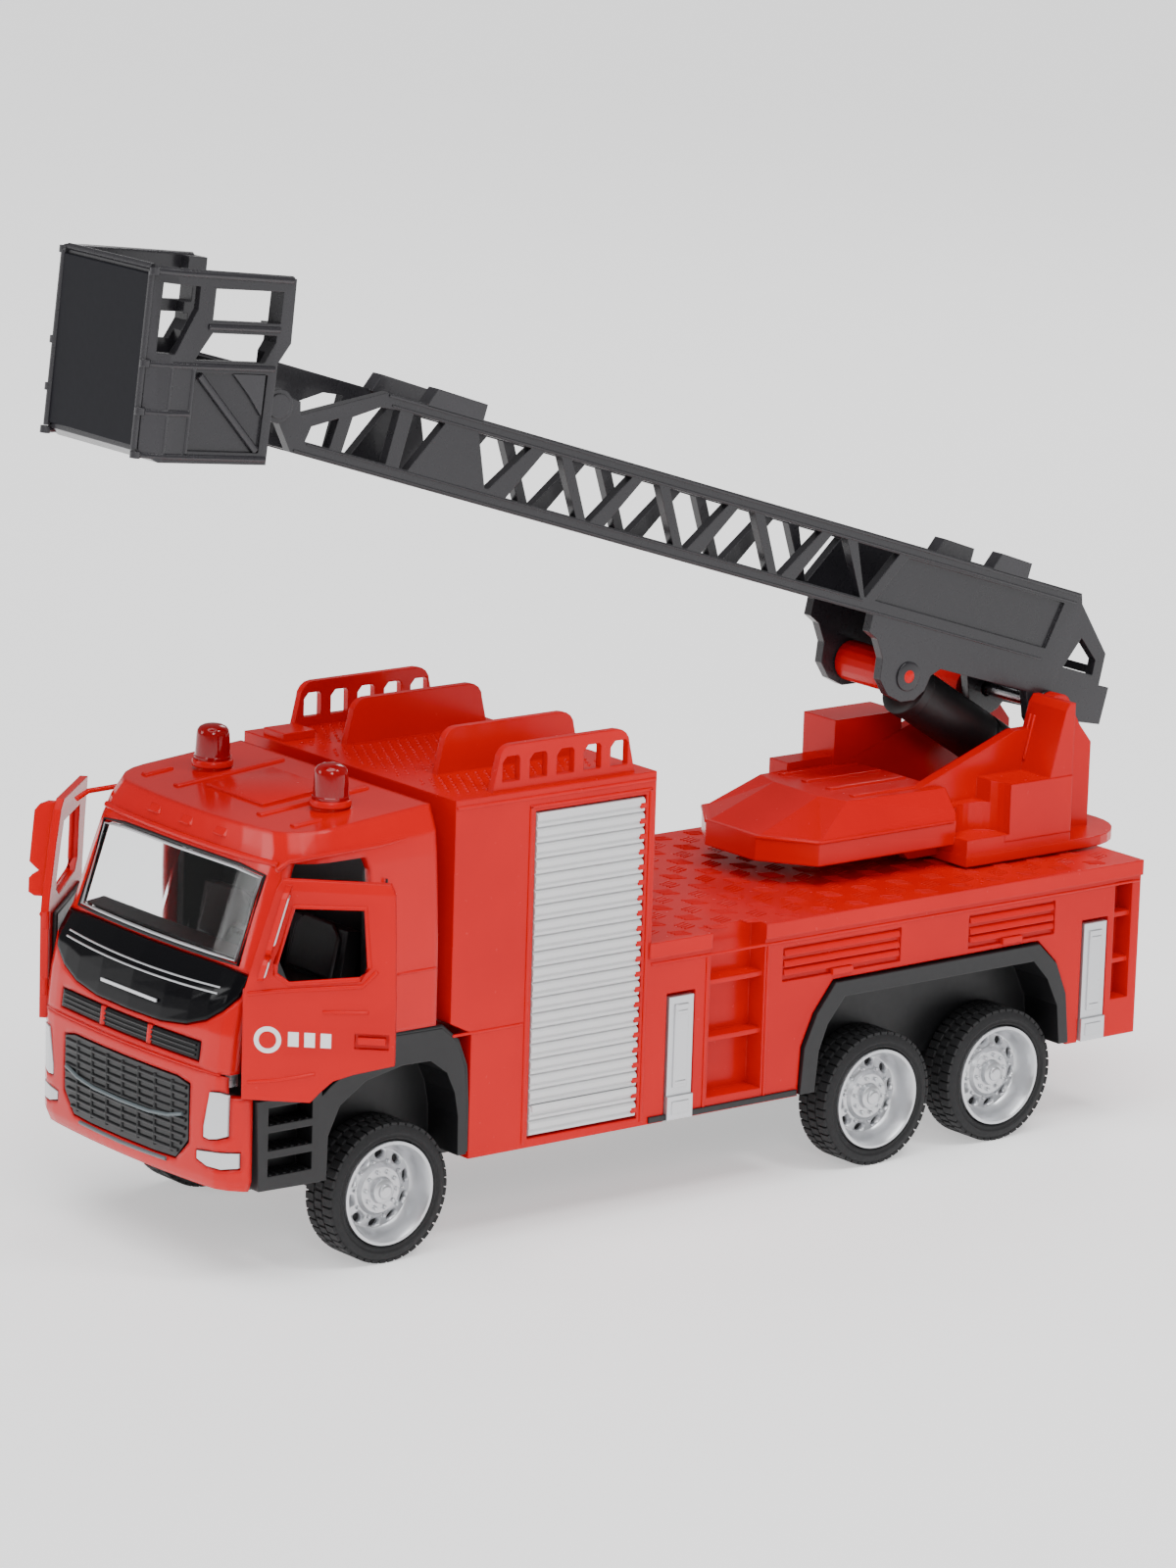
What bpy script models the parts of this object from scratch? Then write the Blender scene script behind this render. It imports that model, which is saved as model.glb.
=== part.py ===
"""Toy fire engine with a turntable ladder, as separate pieces with real joints.

Lengths in this file are millimetres in the truck's own frame: x across the truck
(+x is the truck's left side), y backwards from the cab's front, z up from the floor.
place() turns them into Blender's metres, with y = Y_CENTRE at the scene's origin.
"""
import math

import bmesh
import bpy
from mathutils import Matrix, Vector

# ---------------------------------------------------------------- driving dimensions
MM = 0.001
Y_CENTRE = 82.5            # middle of the resting model's length
GAP = 0.3                  # clearance between pieces that touch

WHEEL_RADIUS = 10.5
WHEEL_OUTER_X = 25.9       # outer face of the wheels
WHEEL_INNER_X = 19.2
RIM_RADIUS = 7.7
AXLE_RADIUS = 1.0
AXLE_Y = {"front": 23.9, "middle": 116.2, "rear": 141.0}

HALF_WIDTH = 26.2          # cab and body sides
BODY_BOTTOM = 13.6
BLOCK_FRONT = 33.8
BLOCK_FRONT_LOW = 37.6     # set back behind the front mudguard
BLOCK_REAR = 70.5
BLOCK_TOP = 67.4
DECK_REAR = 168.7
DECK_TOP = 41.4
LIP_HALF_WIDTH = 26.5
LIP_BOTTOM = 39.0
WALL = 1.6

CAB_REAR = 31.2
CAB_BOTTOM = 31.5
CAB_SIDE_BOTTOM = 34.6     # side wall above the front mudguard
BUMPER_BOTTOM = 14.4
BUMPER_TOP = 31.2
CORNER_RADIUS = 7.0        # vertical corners at the cab's front
FRONT_BOW = 0.9

DOOR_HINGE = (25.5, -1.7)  # x and y of the left door's hinge axis
DOOR_OPEN = math.radians(43.0)
DOOR_BOTTOM = 28.6
DOOR_TOP = 60.5
DOOR_THICKNESS = 1.2

SWING_Y = 158.0            # turntable axis
TURNTABLE_BOTTOM = 41.9
BOOM_PIVOT = (163.8, 63.1)           # y, z
BOOM_RISE = math.radians(17.65)      # boom above the horizontal at rest
BOOM_HALF_WIDTH = 7.8
BOOM_PLATE = 1.6
BARREL_PIVOT = (159.5, 55.3)         # y, z
LIFT_EAR = (30.2, -1.4)              # ear hole, along and above the boom's own axis
BARREL_LENGTH = 22.0
ROD_LENGTH = 23.5
BASKET_HINGE = (162.3, 12.1)         # along and above the boom's own axis
BASKET_PITCH = math.radians(6.5)     # basket nose above the horizontal at rest

WHEEL_SEGMENTS = 24
ROUND_SEGMENTS = 20

RED = (0.78, 0.012, 0.014)
CHARCOAL = (0.062, 0.060, 0.066)
BLACK = (0.018, 0.018, 0.020)
SILVER = (0.66, 0.67, 0.69)
STEEL = (0.55, 0.55, 0.57)
CLEAR = (0.85, 0.88, 0.90)


# ---------------------------------------------------------------- helpers
def place(x, y, z):
    """Truck millimetres as a point in the scene, in metres."""
    return Vector((x * MM, (y - Y_CENTRE) * MM, z * MM))


def local(x, y, z):
    """Millimetres from a piece's own origin."""
    return Vector((x * MM, y * MM, z * MM))


def material(name, colour, roughness, metallic=0.0, transmission=0.0):
    """A named Principled material."""
    mat = bpy.data.materials.new(name)
    mat.use_nodes = True
    shader = mat.node_tree.nodes["Principled BSDF"]
    shader.inputs["Base Color"].default_value = (*colour, 1.0)
    shader.inputs["Roughness"].default_value = roughness
    shader.inputs["Metallic"].default_value = metallic
    shader.inputs["Transmission Weight"].default_value = transmission
    mat.diffuse_color = (*colour, 1.0)
    return mat


def object_from_bmesh(name, bm):
    """Close the bmesh with its faces pointing out and link it as an object."""
    bmesh.ops.recalc_face_normals(bm, faces=bm.faces)
    if bm.calc_volume(signed=True) < 0:
        bmesh.ops.reverse_faces(bm, faces=bm.faces)
    mesh = bpy.data.meshes.new(name)
    bm.to_mesh(mesh)
    bm.free()
    obj = bpy.data.objects.new(name, mesh)
    bpy.context.collection.objects.link(obj)
    return obj


def loft(name, rings, to_point):
    """A closed solid through rings of equal length, capped at both ends."""
    bm = bmesh.new()
    loops = [[bm.verts.new(to_point(*p)) for p in ring] for ring in rings]
    count = len(rings[0])
    for low, high in zip(loops, loops[1:]):
        for i in range(count):
            j = (i + 1) % count
            bm.faces.new((low[i], low[j], high[j], high[i]))
    bm.faces.new(loops[0])
    bm.faces.new(loops[-1])
    return object_from_bmesh(name, bm)


def prism(name, axis, outline, low, high, to_point=place):
    """An outline extruded along x (points y, z), y (points x, z) or z (points x, y)."""
    order = {"x": lambda a, b, c: (c, a, b),
             "y": lambda a, b, c: (a, c, b),
             "z": lambda a, b, c: (a, b, c)}[axis]
    rings = [[order(a, b, level) for a, b in outline] for level in (low, high)]
    return loft(name, rings, to_point)


def box(name, low, high, to_point=place):
    """A box between two corners."""
    outline = [(low[0], low[1]), (high[0], low[1]), (high[0], high[1]), (low[0], high[1])]
    return prism(name, "z", outline, low[2], high[2], to_point)


def turned(name, profile, centre, axis="x", segments=ROUND_SEGMENTS, to_point=place):
    """A profile of (along, radius) points turned about an axis through centre."""
    bm = bmesh.new()
    step = 2 * math.pi / segments
    rings = []
    for along, radius in profile:
        ring = []
        for i in range(segments if radius > 0 else 1):
            angle = (i + 0.5) * step
            a, b = radius * math.cos(angle), radius * math.sin(angle)
            offset = {"x": (along, a, b), "y": (a, along, b), "z": (a, b, along)}[axis]
            ring.append(bm.verts.new(to_point(*(c + o for c, o in zip(centre, offset)))))
        rings.append(ring)
    closed = profile[0][1] > 0 and profile[-1][1] > 0
    pairs = list(zip(rings, rings[1:])) + ([(rings[-1], rings[0])] if closed else [])
    for low, high in pairs:
        for i in range(segments):
            j = (i + 1) % segments
            corners = [low[i % len(low)], low[j % len(low)], high[j % len(high)], high[i % len(high)]]
            face = [v for k, v in enumerate(corners) if v not in corners[:k]]
            if len(face) > 2:
                bm.faces.new(face)
    obj = object_from_bmesh(name, bm)
    obj.data.shade_smooth()
    obj.data.set_sharp_from_angle(angle=math.radians(40))
    return obj


def rod(name, axis, centre, radius, low, high, to_point=place, segments=ROUND_SEGMENTS):
    """A plain round bar."""
    return turned(name, [(low, 0), (low, radius), (high, radius), (high, 0)],
                  centre, axis, segments, to_point)


def boolean(target, tool, operation):
    """Join a tool to the target, or cut it away, with the tool kept as a hidden guide."""
    tool.hide_render = True
    tool.display_type = 'WIRE'
    modifier = target.modifiers.new(f"{operation.lower()}_{tool.name}", 'BOOLEAN')
    modifier.operation = operation
    modifier.object = tool
    if target.location.length > 0 or target.rotation_euler.x or target.rotation_euler.z:
        tool.parent = target
    return target


def join(target, *tools):
    for tool in tools:
        boolean(target, tool, 'UNION')
    return target


def cut(target, *tools):
    for tool in tools:
        boolean(target, tool, 'DIFFERENCE')
    return target


def finish(obj, mat):
    obj.data.materials.append(mat)
    return obj


def arc(centre_a, centre_b, radius, start, end, count):
    """Points on an arc in the outline's own plane, angles in degrees."""
    points = []
    for i in range(count + 1):
        angle = math.radians(start + (end - start) * i / count)
        points.append((centre_a + radius * math.cos(angle), centre_b + radius * math.sin(angle)))
    return points


def interpolate(table, value):
    """Straight-line reading of a table of (input, output) pairs."""
    for (a0, b0), (a1, b1) in zip(table, table[1:]):
        if value <= a1:
            t = max(0.0, (value - a0) / (a1 - a0))
            return b0 + t * (b1 - b0)
    return table[-1][1]


# ---------------------------------------------------------------- cab surface
FRONT_PROFILE = [(14.0, -4.6), (16.0, -5.2), (30.0, -5.2), (37.0, -4.4), (42.0, -3.3),
                 (46.2, -0.6), (59.3, 3.9), (64.0, 5.9)]
WIDTH_PROFILE = [(14.0, 25.6), (16.0, 26.2), (46.0, 26.2), (58.0, 25.6), (62.0, 25.0), (64.6, 23.4)]


def half_width(z):
    return interpolate(WIDTH_PROFILE, z)


def front_y(x, z):
    """The cab's front surface: a slight bow, then a round corner."""
    y = interpolate(FRONT_PROFILE, z)
    straight = half_width(z) - CORNER_RADIUS
    across = abs(x)
    y += FRONT_BOW * min(across / straight, 1.0) ** 2
    if across > straight:
        over = min(across - straight, CORNER_RADIUS)
        y += CORNER_RADIUS - math.sqrt(CORNER_RADIUS ** 2 - over ** 2)
    return y


def plan_ring(z, inset, rear, lift=0.0):
    """A level outline of the cab, inset all round; lift raises it towards the rear."""
    wide = half_width(z) - inset
    radius = CORNER_RADIUS - inset
    straight = wide - radius
    front = interpolate(FRONT_PROFILE, z) + inset
    half = [(straight * k / 4, FRONT_BOW * (k / 4) ** 2) for k in range(5)]
    half += [(x, y + FRONT_BOW + radius) for x, y in arc(straight, 0, radius, -72, 0, 4)]
    half = [(x, y + front) for x, y in half]
    half.append((wide, rear - inset))
    ring = half + [(-x, y) for x, y in reversed(half) if x > 0]
    return [(x, y, z + lift * max(0.0, y - 6.0) / 25.0) for x, y in ring]


def cab_solid(name, inset, levels, rear=CAB_REAR):
    """The cab's closed outer form, or its hollow when inset; levels are (z, lift)."""
    return loft(name, [plan_ring(z, inset, rear, lift) for z, lift in levels], place)


def front_patch(name, columns, out, depth, bands=1):
    """A plate following the cab's front; columns are (x, low z, high z)."""
    rings = []
    for x, low, high in columns:
        heights = [low + (high - low) * k / bands for k in range(bands + 1)]
        face = [(x, front_y(x, z) + out, z) for z in heights]
        rings.append(face + [(x, y + depth, z) for x, y, z in reversed(face)])
    return loft(name, rings, place)


def mirrored_columns(half):
    """Columns for both sides from those at x >= 0."""
    return [(-x, low, high) for x, low, high in reversed(half) if x > 0] + half


def grown(columns, by):
    """The same columns, larger by a margin all round."""
    first, last = columns[0], columns[-1]
    middle = [(x, low - by, high + by) for x, low, high in columns[1:-1]]
    return ([(first[0] - by, first[1] - by, first[2] + by)] + middle
            + [(last[0] + by, last[1] - by, last[2] + by)])


WINDSCREEN = mirrored_columns([(0, 46.9, 59.0), (7, 46.9, 59.0), (14, 46.9, 58.9), (19.4, 46.9, 58.4)])
BAND = mirrored_columns([(0, 36.3, 45.8), (8, 36.4, 45.8), (14, 37.2, 45.8), (18, 38.6, 45.7),
                         (21, 40.6, 45.5), (22.6, 42.6, 45.2)])
VENT = mirrored_columns([(0, 32.6, 35.1), (8, 32.6, 35.1), (17.3, 32.6, 35.1)])
GRILLE = mirrored_columns([(0, 17.2, 29.2), (8, 17.2, 29.2), (13, 17.4, 29.2), (15.7, 20.5, 28.6)])
HEADLIGHT = [(19.2, 21.8, 23.4), (20.4, 21.7, 28.6), (21.8, 22.0, 28.8), (23.2, 22.6, 28.6)]
FOG_LIGHT = [(17.8, 18.3, 19.5), (20.0, 17.7, 19.8), (22.4, 17.6, 20.0), (24.4, 18.0, 20.2)]


def side_columns(columns, side):
    """Columns on the left (+1) or right (-1) side of the front."""
    return columns if side > 0 else [(-x, low, high) for x, low, high in reversed(columns)]


def side_patch(name, rows, out, depth, side, to_point):
    """A plate following the cab's side; rows are (z, front y, rear y)."""
    rings = []
    for z, front, rear in rows:
        outer = half_width(z) + out
        ring = [(outer, front), (outer, rear), (outer - depth, rear), (outer - depth, front)]
        rings.append([(side * x, y, z) for x, y in ring])
    return loft(name, rings, to_point)


DOOR_ROWS = [(DOOR_BOTTOM, -2.2, 7.6), (30.2, -2.2, 9.0), (31.9, -2.2, 10.8), (33.0, -2.2, 13.6),
             (34.6, -2.2, 19.4), (44.0, -2.2, 19.4), (46.2, -1.6, 19.3), (54.0, 0.6, 19.1),
             (59.0, 2.1, 18.9), (DOOR_TOP, 3.0, 18.2)]
DOOR_WINDOW = [(4.7, 56.8), (14.8, 57.0), (15.6, 48.6), (14.3, 46.9), (4.3, 45.7), (2.3, 47.0), (2.3, 48.5)]


def cab_shell(mat):
    levels = [(CAB_BOTTOM, 0), (37.0, 0), (42.0, 0), (46.2, 0), (54.0, 0), (59.3, 0.6), (62.0, 1.2),
              (64.6, 2.2)]
    hollow_levels = [(CAB_BOTTOM - 2, 0), (37.0, 0), (42.0, 0), (46.2, 0), (54.0, 0), (59.3, 0.6),
                     (63.2, 2.0)]
    shell = cab_solid("cab_shell", 0.0, levels)
    cut(shell, cab_solid("cab_hollow", 1.3, hollow_levels))
    cut(shell, front_patch("windscreen_hole", grown(WINDSCREEN, GAP), -3.0, 8.0))
    cut(shell, front_patch("band_recess", grown(BAND, GAP), -1.0, 1.7, 5))
    cut(shell, front_patch("vent_recess", grown(VENT, GAP), -1.0, 1.7))
    for side in (-1, 1):
        rows = [(z - (0.4 if z == DOOR_BOTTOM else 0), front - 0.7, rear + 0.4)
                for z, front, rear in DOOR_ROWS]
        rows[-1] = (DOOR_TOP + 0.4, rows[-1][1], rows[-1][2])
        cut(shell, side_patch(f"doorway_{side}", rows, 2.0, 5.0, side, place))
        cut(shell, box(f"arch_clearance_{side}", (min(side * 17.6, side * 30), 7.0, 28.0),
                       (max(side * 17.6, side * 30), 40.0, CAB_SIDE_BOTTOM)))
        join(shell, rod(f"beacon_seat_{side}", "z", (side * 14.7, 20.0, 0.0), 2.7, 63.6, 66.6))
    return finish(shell, mat)


def cab_front_pieces(red, black, clear):
    finish(front_patch("windscreen", WINDSCREEN, 0.15, 0.9), clear)
    finish(front_patch("front_band", BAND, -0.15, 0.55, 5), black)
    finish(front_patch("vent_strip", VENT, 0.0, 0.4), black)
    levels = [(BUMPER_BOTTOM, 0), (16.0, 0), (24.0, 0), (BUMPER_TOP, 0)]
    bumper = cab_solid("front_bumper", 0.0, levels, rear=-0.3 + 8.0)
    cut(bumper, cab_solid("bumper_hollow", 1.7, [(z + d, 0) for z, d in
                                                 ((13.0, 0), (24.0, 0), (33.0, 0))], rear=20.0))
    cut(bumper, box("bumper_rear_cut", (-40, -0.3, 10), (40, 20, 40)))
    cut(bumper, box("bumper_door_cut", (-40, -2.9, DOOR_BOTTOM - 0.4), (40, 20, 40)))
    cut(bumper, front_patch("grille_recess", grown(GRILLE, GAP), -1.0, 1.9))
    for side, name in ((1, "left"), (-1, "right")):
        head = side_columns(HEADLIGHT, side)
        fog = side_columns(FOG_LIGHT, side)
        cut(bumper, front_patch(f"headlight_recess_{name}", grown(head, 0.2), -1.0, 1.8))
        cut(bumper, front_patch(f"fog_recess_{name}", grown(fog, 0.2), -1.0, 1.8))
        finish(front_patch(f"headlight_{name}", head, -0.05, 0.5), clear)
        finish(front_patch(f"fog_light_{name}", fog, -0.05, 0.5), clear)
    finish(bumper, red)
    finish(front_patch("lower_grille", GRILLE, 0.05, 0.5), black)


def cab_interior(mat):
    """Seats, dashboard, floor and rear wall: one black moulding."""
    tub = box("cab_interior", (-17.4, 2.2, 32.2), (17.4, 29.4, 35.0))
    join(tub, box("floor", (-23.4, 2.3, 34.5), (23.4, 29.3, 35.7)))
    join(tub, box("rear_wall", (-23.3, 27.6, 34.9), (23.3, 29.5, 58.0)))
    dash = [(2.6, 35.1), (8.2, 35.1), (8.2, 43.0), (6.4, 46.6), (3.2, 46.2), (2.6, 44.0)]
    join(tub, prism("dashboard", "x", dash, -21.8, 21.8))
    for side in (-1, 1):
        low, high = sorted((side * 22.0, side * 23.5))
        join(tub, box(f"side_panel_{side}", (low, 20.6, 35.1), (high, 29.2, 58.1)))
        low, high = sorted((side * 4.0, side * 18.0))
        join(tub, box(f"seat_{side}", (low, 13.0, 35.2), (high, 22.0, 39.6)))
        back = [(19.6, 38.0), (22.1, 38.0), (23.8, 47.6), (21.4, 47.9)]
        join(tub, prism(f"seat_back_{side}", "x", back, low + 0.3, high - 0.3))
    wheel = turned("steering_wheel", [(-0.5, 2.4), (0.5, 2.4), (0.5, 3.3), (-0.5, 3.3)],
                   (0, 0, 0), "z", 16, local)
    wheel.location = place(11.0, 9.4, 46.8)
    wheel.rotation_euler = (math.radians(-50), 0, 0)
    spoke = box("steering_column", (9.9, 5.0, 44.6), (12.1, 10.6, 46.0))
    spoke_bar = box("steering_spoke", (7.9, 8.2, 46.0), (14.1, 9.6, 47.6))
    join(tub, wheel, spoke, spoke_bar)
    cut(tub, rod("tub_screw_hole", "z", (0, 14.0, 0), 1.2, 31.0, 36.6))
    return finish(tub, mat)


def door(side, name, mat):
    """A door plate with its window, mirror and hinge barrel, swung open about its hinge."""
    hinge = Vector((side * DOOR_HINGE[0], DOOR_HINGE[1], 0.0))

    def at(x, y, z):
        return local(x - hinge.x, y - hinge.y, z)

    panel = side_patch(f"door_{name}", DOOR_ROWS, 0.0, DOOR_THICKNESS, side, at)
    panel.location = place(hinge.x, hinge.y, 0.0)
    panel.rotation_euler = (0, 0, -side * DOOR_OPEN)
    low, high = sorted((side * 20.0, side * 30.0))
    cut(panel, prism(f"door_window_{name}", "x", DOOR_WINDOW, low, high, at))
    low, high = sorted((side * (HALF_WIDTH - 0.45), side * 30.0))
    cut(panel, prism(f"handle_pocket_{name}", "x", [(13.7, 36.8), (18.5, 36.8), (18.5, 39.0), (13.7, 39.0)],
                     low, high, at))
    rings = []
    for z, reach in ((46.4, 1.5), (46.9, 2.4), (48.9, 2.6), (49.5, 2.0), (50.0, 1.2), (50.5, 1.9), (51.2, 2.8),
                     (58.5, 3.0), (59.3, 2.5), (59.8, 1.4)):
        y = -0.2 + (z - 46.0) * 0.27
        inner = half_width(z) - 0.5
        ring = [(inner, y), (inner + 0.5 + reach, y), (inner + 0.5 + reach, y + 0.9), (inner, y + 0.9)]
        rings.append([(side * x, yy, z) for x, yy in ring])
    join(panel, loft(f"mirror_{name}", rings, at))
    return finish(panel, mat)


def beacon(side, name, mat):
    profile = [(66.9, 0), (66.9, 3.0), (67.7, 3.0), (67.9, 2.7), (71.2, 2.4), (72.0, 2.0), (72.3, 1.2), (72.4, 0)]
    return finish(turned(f"beacon_{name}", profile, (side * 14.7, 20.0, 0.0), "z"), mat)


# ---------------------------------------------------------------- chassis, guards and wheels
SCREW_Y = {"front": 14.0, "middle": 92.0, "rear": 128.6}


def chassis(mat):
    base = box("chassis", (-11.0, 8.0, 9.6), (11.0, 164.0, 13.2))
    for name, y in AXLE_Y.items():
        join(base, box(f"saddle_{name}", (-18.4, y - 3.4, 8.2), (18.4, y + 3.4, 13.1)))
    for name, y in AXLE_Y.items():
        cut(base, rod(f"axle_hole_{name}", "x", (0, y, WHEEL_RADIUS), AXLE_RADIUS + GAP, -20, 20, segments=16))
    for name, y in SCREW_Y.items():
        cut(base, rod(f"screw_hole_{name}", "z", (0, y, 0), 1.2, 9.0, 14.0, segments=12))
        cut(base, rod(f"screw_seat_{name}", "z", (0, y, 0), 2.3, 9.0, 11.4, segments=16))
    return finish(base, mat)


def screws(mat):
    for name, y in SCREW_Y.items():
        top = 36.0 if name == "front" else 19.0
        profile = [(9.8, 0), (9.8, 1.6), (10.3, 2.0), (11.1, 2.0), (11.1, 0.9), (top, 0.9), (top, 0)]
        finish(turned(f"base_screw_{name}", profile, (0, y, 0), "z", 16), mat)


def front_guard(side, name, mat):
    """Cab steps and the front mudguard: one black moulding."""
    inner, outer = 18.0, HALF_WIDTH
    steps = [(0.0, 27.9), (0.4, 14.6), (11.2, 14.4), (11.2, 27.9)]
    low, high = sorted((side * inner, side * outer))
    guard = prism(f"front_guard_{name}", "x", steps, low, high)
    for z in (16.6, 20.4, 24.1):
        pocket = sorted((side * 22.4, side * 30.0))
        cut(guard, box(f"step_{name}_{z}", (pocket[0], 1.9, z), (pocket[1], 9.6, z + 2.6)))
    arch = [(10.6, 14.5), (10.6, 26.6), (12.6, 28.2), (16.4, 30.4), (20.0, 32.9), (24.0, 34.1),
            (32.4, 34.0), (35.2, 31.6), (36.6, 27.6), (37.2, 21.6), (37.2, 14.4), (35.7, 14.4),
            (35.6, 20.4), (34.9, 24.0), (33.4, 27.2), (30.4, 29.4), (25.4, 29.5), (19.0, 28.2),
            (14.4, 25.2), (12.4, 21.0), (12.2, 14.5)]
    join(guard, prism(f"mudguard_{name}", "x", arch, low, high))
    liner = [(10.8, 15.0), (10.8, 26.4), (20.2, 32.7), (32.2, 33.8), (36.9, 21.6), (36.9, 15.0)]
    low, high = sorted((side * (inner - 0.2), side * (inner + 0.9)))
    join(guard, prism(f"arch_liner_{name}", "x", liner, low, high))
    return finish(guard, mat)


REAR_ARCH_OUTER = [(99.8, 13.9), (100.4, 21.1), (102.6, 26.0), (106.2, 30.5), (147.2, 30.8),
                   (151.0, 27.2), (153.2, 22.0), (154.1, 14.1)]
REAR_ARCH_INNER = [(152.2, 14.1), (151.5, 20.4), (149.2, 25.0), (146.2, 28.2), (108.0, 28.1),
                   (104.8, 24.2), (103.2, 20.2), (102.6, 13.9)]


def rear_arch(side, name, mat):
    low, high = sorted((side * 18.9, side * 26.8))
    arch = prism(f"rear_arch_{name}", "x", REAR_ARCH_OUTER + REAR_ARCH_INNER, low, high)
    tunnel = [(101.2, 20.9), (103.2, 25.8), (106.6, 29.9), (146.8, 30.2), (150.4, 26.8), (152.4, 21.8), (152.8, 14.4),
              (101.2, 14.2)]
    low, high = sorted((side * 17.7, side * 19.1))
    join(arch, prism(f"tunnel_wall_{name}", "x", tunnel, low, high))
    return finish(arch, mat)


def tyre_profile(side):
    """Across and radius points of a tyre; radii are to the flats of the faceted ring."""
    grow = 1.0 / math.cos(math.pi / WHEEL_SEGMENTS)
    inner, outer = WHEEL_INNER_X, WHEEL_OUTER_X
    points = [(inner, RIM_RADIUS + GAP), (inner, 9.4), (inner + 0.9, WHEEL_RADIUS),
              (outer - 0.9, WHEEL_RADIUS), (outer, 9.5), (outer, RIM_RADIUS + GAP)]
    return [(side * x, r * grow) for x, r in points]


def rim_profile(side):
    """A dished rim with a hub and a blind hole for the axle."""
    points = [(24.3, 0), (24.3, 2.2), (22.9, 2.6), (22.5, 5.8), (WHEEL_OUTER_X - 0.1, 6.9),
              (WHEEL_OUTER_X - 0.1, RIM_RADIUS), (WHEEL_INNER_X + 0.3, RIM_RADIUS),
              (WHEEL_INNER_X + 0.3, AXLE_RADIUS + GAP), (23.0, AXLE_RADIUS + GAP), (23.0, 0)]
    return [(side * x, r) for x, r in points]


def wheels(rubber, silver, steel):
    for axle, y in AXLE_Y.items():
        centre = (0, 0, 0)
        shaft = rod(f"axle_{axle}", "x", centre, AXLE_RADIUS, -22.7, 22.7, local, 16)
        shaft.location = place(0, y, WHEEL_RADIUS)
        finish(shaft, steel)
        for side, name in ((1, "left"), (-1, "right")):
            for kind, profile, mat in (("tyre", tyre_profile(side), rubber), ("rim", rim_profile(side), silver)):
                piece = turned(f"{kind}_{axle}_{name}", profile, centre, "x", WHEEL_SEGMENTS, local)
                piece.location = place(0, y, WHEEL_RADIUS)
                finish(piece, mat)


# ---------------------------------------------------------------- body
SHUTTER = (48.3, 68.7, 14.9, 64.1)              # y from, y to, z from, z to
OUTRIGGERS = {"front": 76.5, "rear": 159.2}     # y of each strip's middle
LADDER_POCKETS = {"front": (82.0, 92.4, 16.0, 45.0, (34.0, 25.2)),
                  "rear": (163.2, 166.8, 19.6, 38.4, (33.4, 26.0))}
LOUVRES = [(96.0, 119.3), (133.0, 150.7)]
FENCE_Y = (41.0, 67.4)
FENCE_TOP = 74.2
FENCE_THICKNESS = 1.2


def fence_outline():
    front, rear = FENCE_Y
    points = [(front, BLOCK_TOP - 0.5), (rear, BLOCK_TOP - 0.5)]
    points += arc(rear - 1.2 - 2.4, FENCE_TOP - 2.4, 2.4, 0, 90, 4)
    points += arc(front + 1.2 + 2.4, FENCE_TOP - 2.4, 2.4, 90, 180, 4)
    return points


def rear_body(mat):
    """Equipment block, deck and fences: one hollow moulding, open underneath."""
    side = [(BLOCK_FRONT_LOW, BODY_BOTTOM), (DECK_REAR - 0.2, BODY_BOTTOM), (DECK_REAR - 0.2, DECK_TOP - 0.1),
            (BLOCK_REAR, DECK_TOP - 0.1), (BLOCK_REAR, BLOCK_TOP), (BLOCK_FRONT, BLOCK_TOP),
            (BLOCK_FRONT, 34.4), (BLOCK_FRONT_LOW, 32.5)]
    body = prism("rear_body", "x", side, -HALF_WIDTH, HALF_WIDTH)
    hollow = [(BLOCK_FRONT_LOW + WALL, 10.0), (DECK_REAR - WALL, 10.0), (DECK_REAR - WALL, DECK_TOP - WALL),
              (BLOCK_REAR - WALL, DECK_TOP - WALL), (BLOCK_REAR - WALL, BLOCK_TOP - WALL),
              (BLOCK_FRONT + WALL, BLOCK_TOP - WALL), (BLOCK_FRONT + WALL, 35.6), (BLOCK_FRONT_LOW + WALL, 33.9)]
    cut(body, prism("body_hollow", "x", hollow, -HALF_WIDTH + WALL, HALF_WIDTH - WALL))
    join(body, prism("deck_lip", "z", [(-LIP_HALF_WIDTH, BLOCK_REAR - 0.4), (LIP_HALF_WIDTH, BLOCK_REAR - 0.4),
                                       (LIP_HALF_WIDTH, DECK_REAR), (-LIP_HALF_WIDTH, DECK_REAR)],
                     LIP_BOTTOM, DECK_TOP))
    for x in (24.4, 11.2):
        for flip in (-1, 1):
            centre = flip * x
            join(body, prism(f"fence_{centre}", "x", fence_outline(),
                             centre - FENCE_THICKNESS / 2, centre + FENCE_THICKNESS / 2))
    for name, y in SCREW_Y.items():
        if name != "front":
            join(body, rod(f"boss_{name}", "z", (0, y, 0), 2.8, BODY_BOTTOM, LIP_BOTTOM + 1.3, segments=14))
            cut(body, rod(f"boss_hole_{name}", "z", (0, y, 0), 1.2, 10.0, 19.6, segments=16))
    for flip, name in ((1, "left"), (-1, "right")):
        body_side(body, flip, name)
    cut(body, rod("swing_hole", "z", (0, SWING_Y, 0), 6.3, 30.0, 50.0, segments=24))
    return finish(body, mat)


def side_box(name, flip, inner, outer, y0, y1, z0, z1):
    """A box on the left (flip 1) or right (-1) side, between two distances from the middle."""
    low, high = sorted((flip * inner, flip * outer))
    return box(name, (low, y0, z0), (high, y1, z1))


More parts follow.
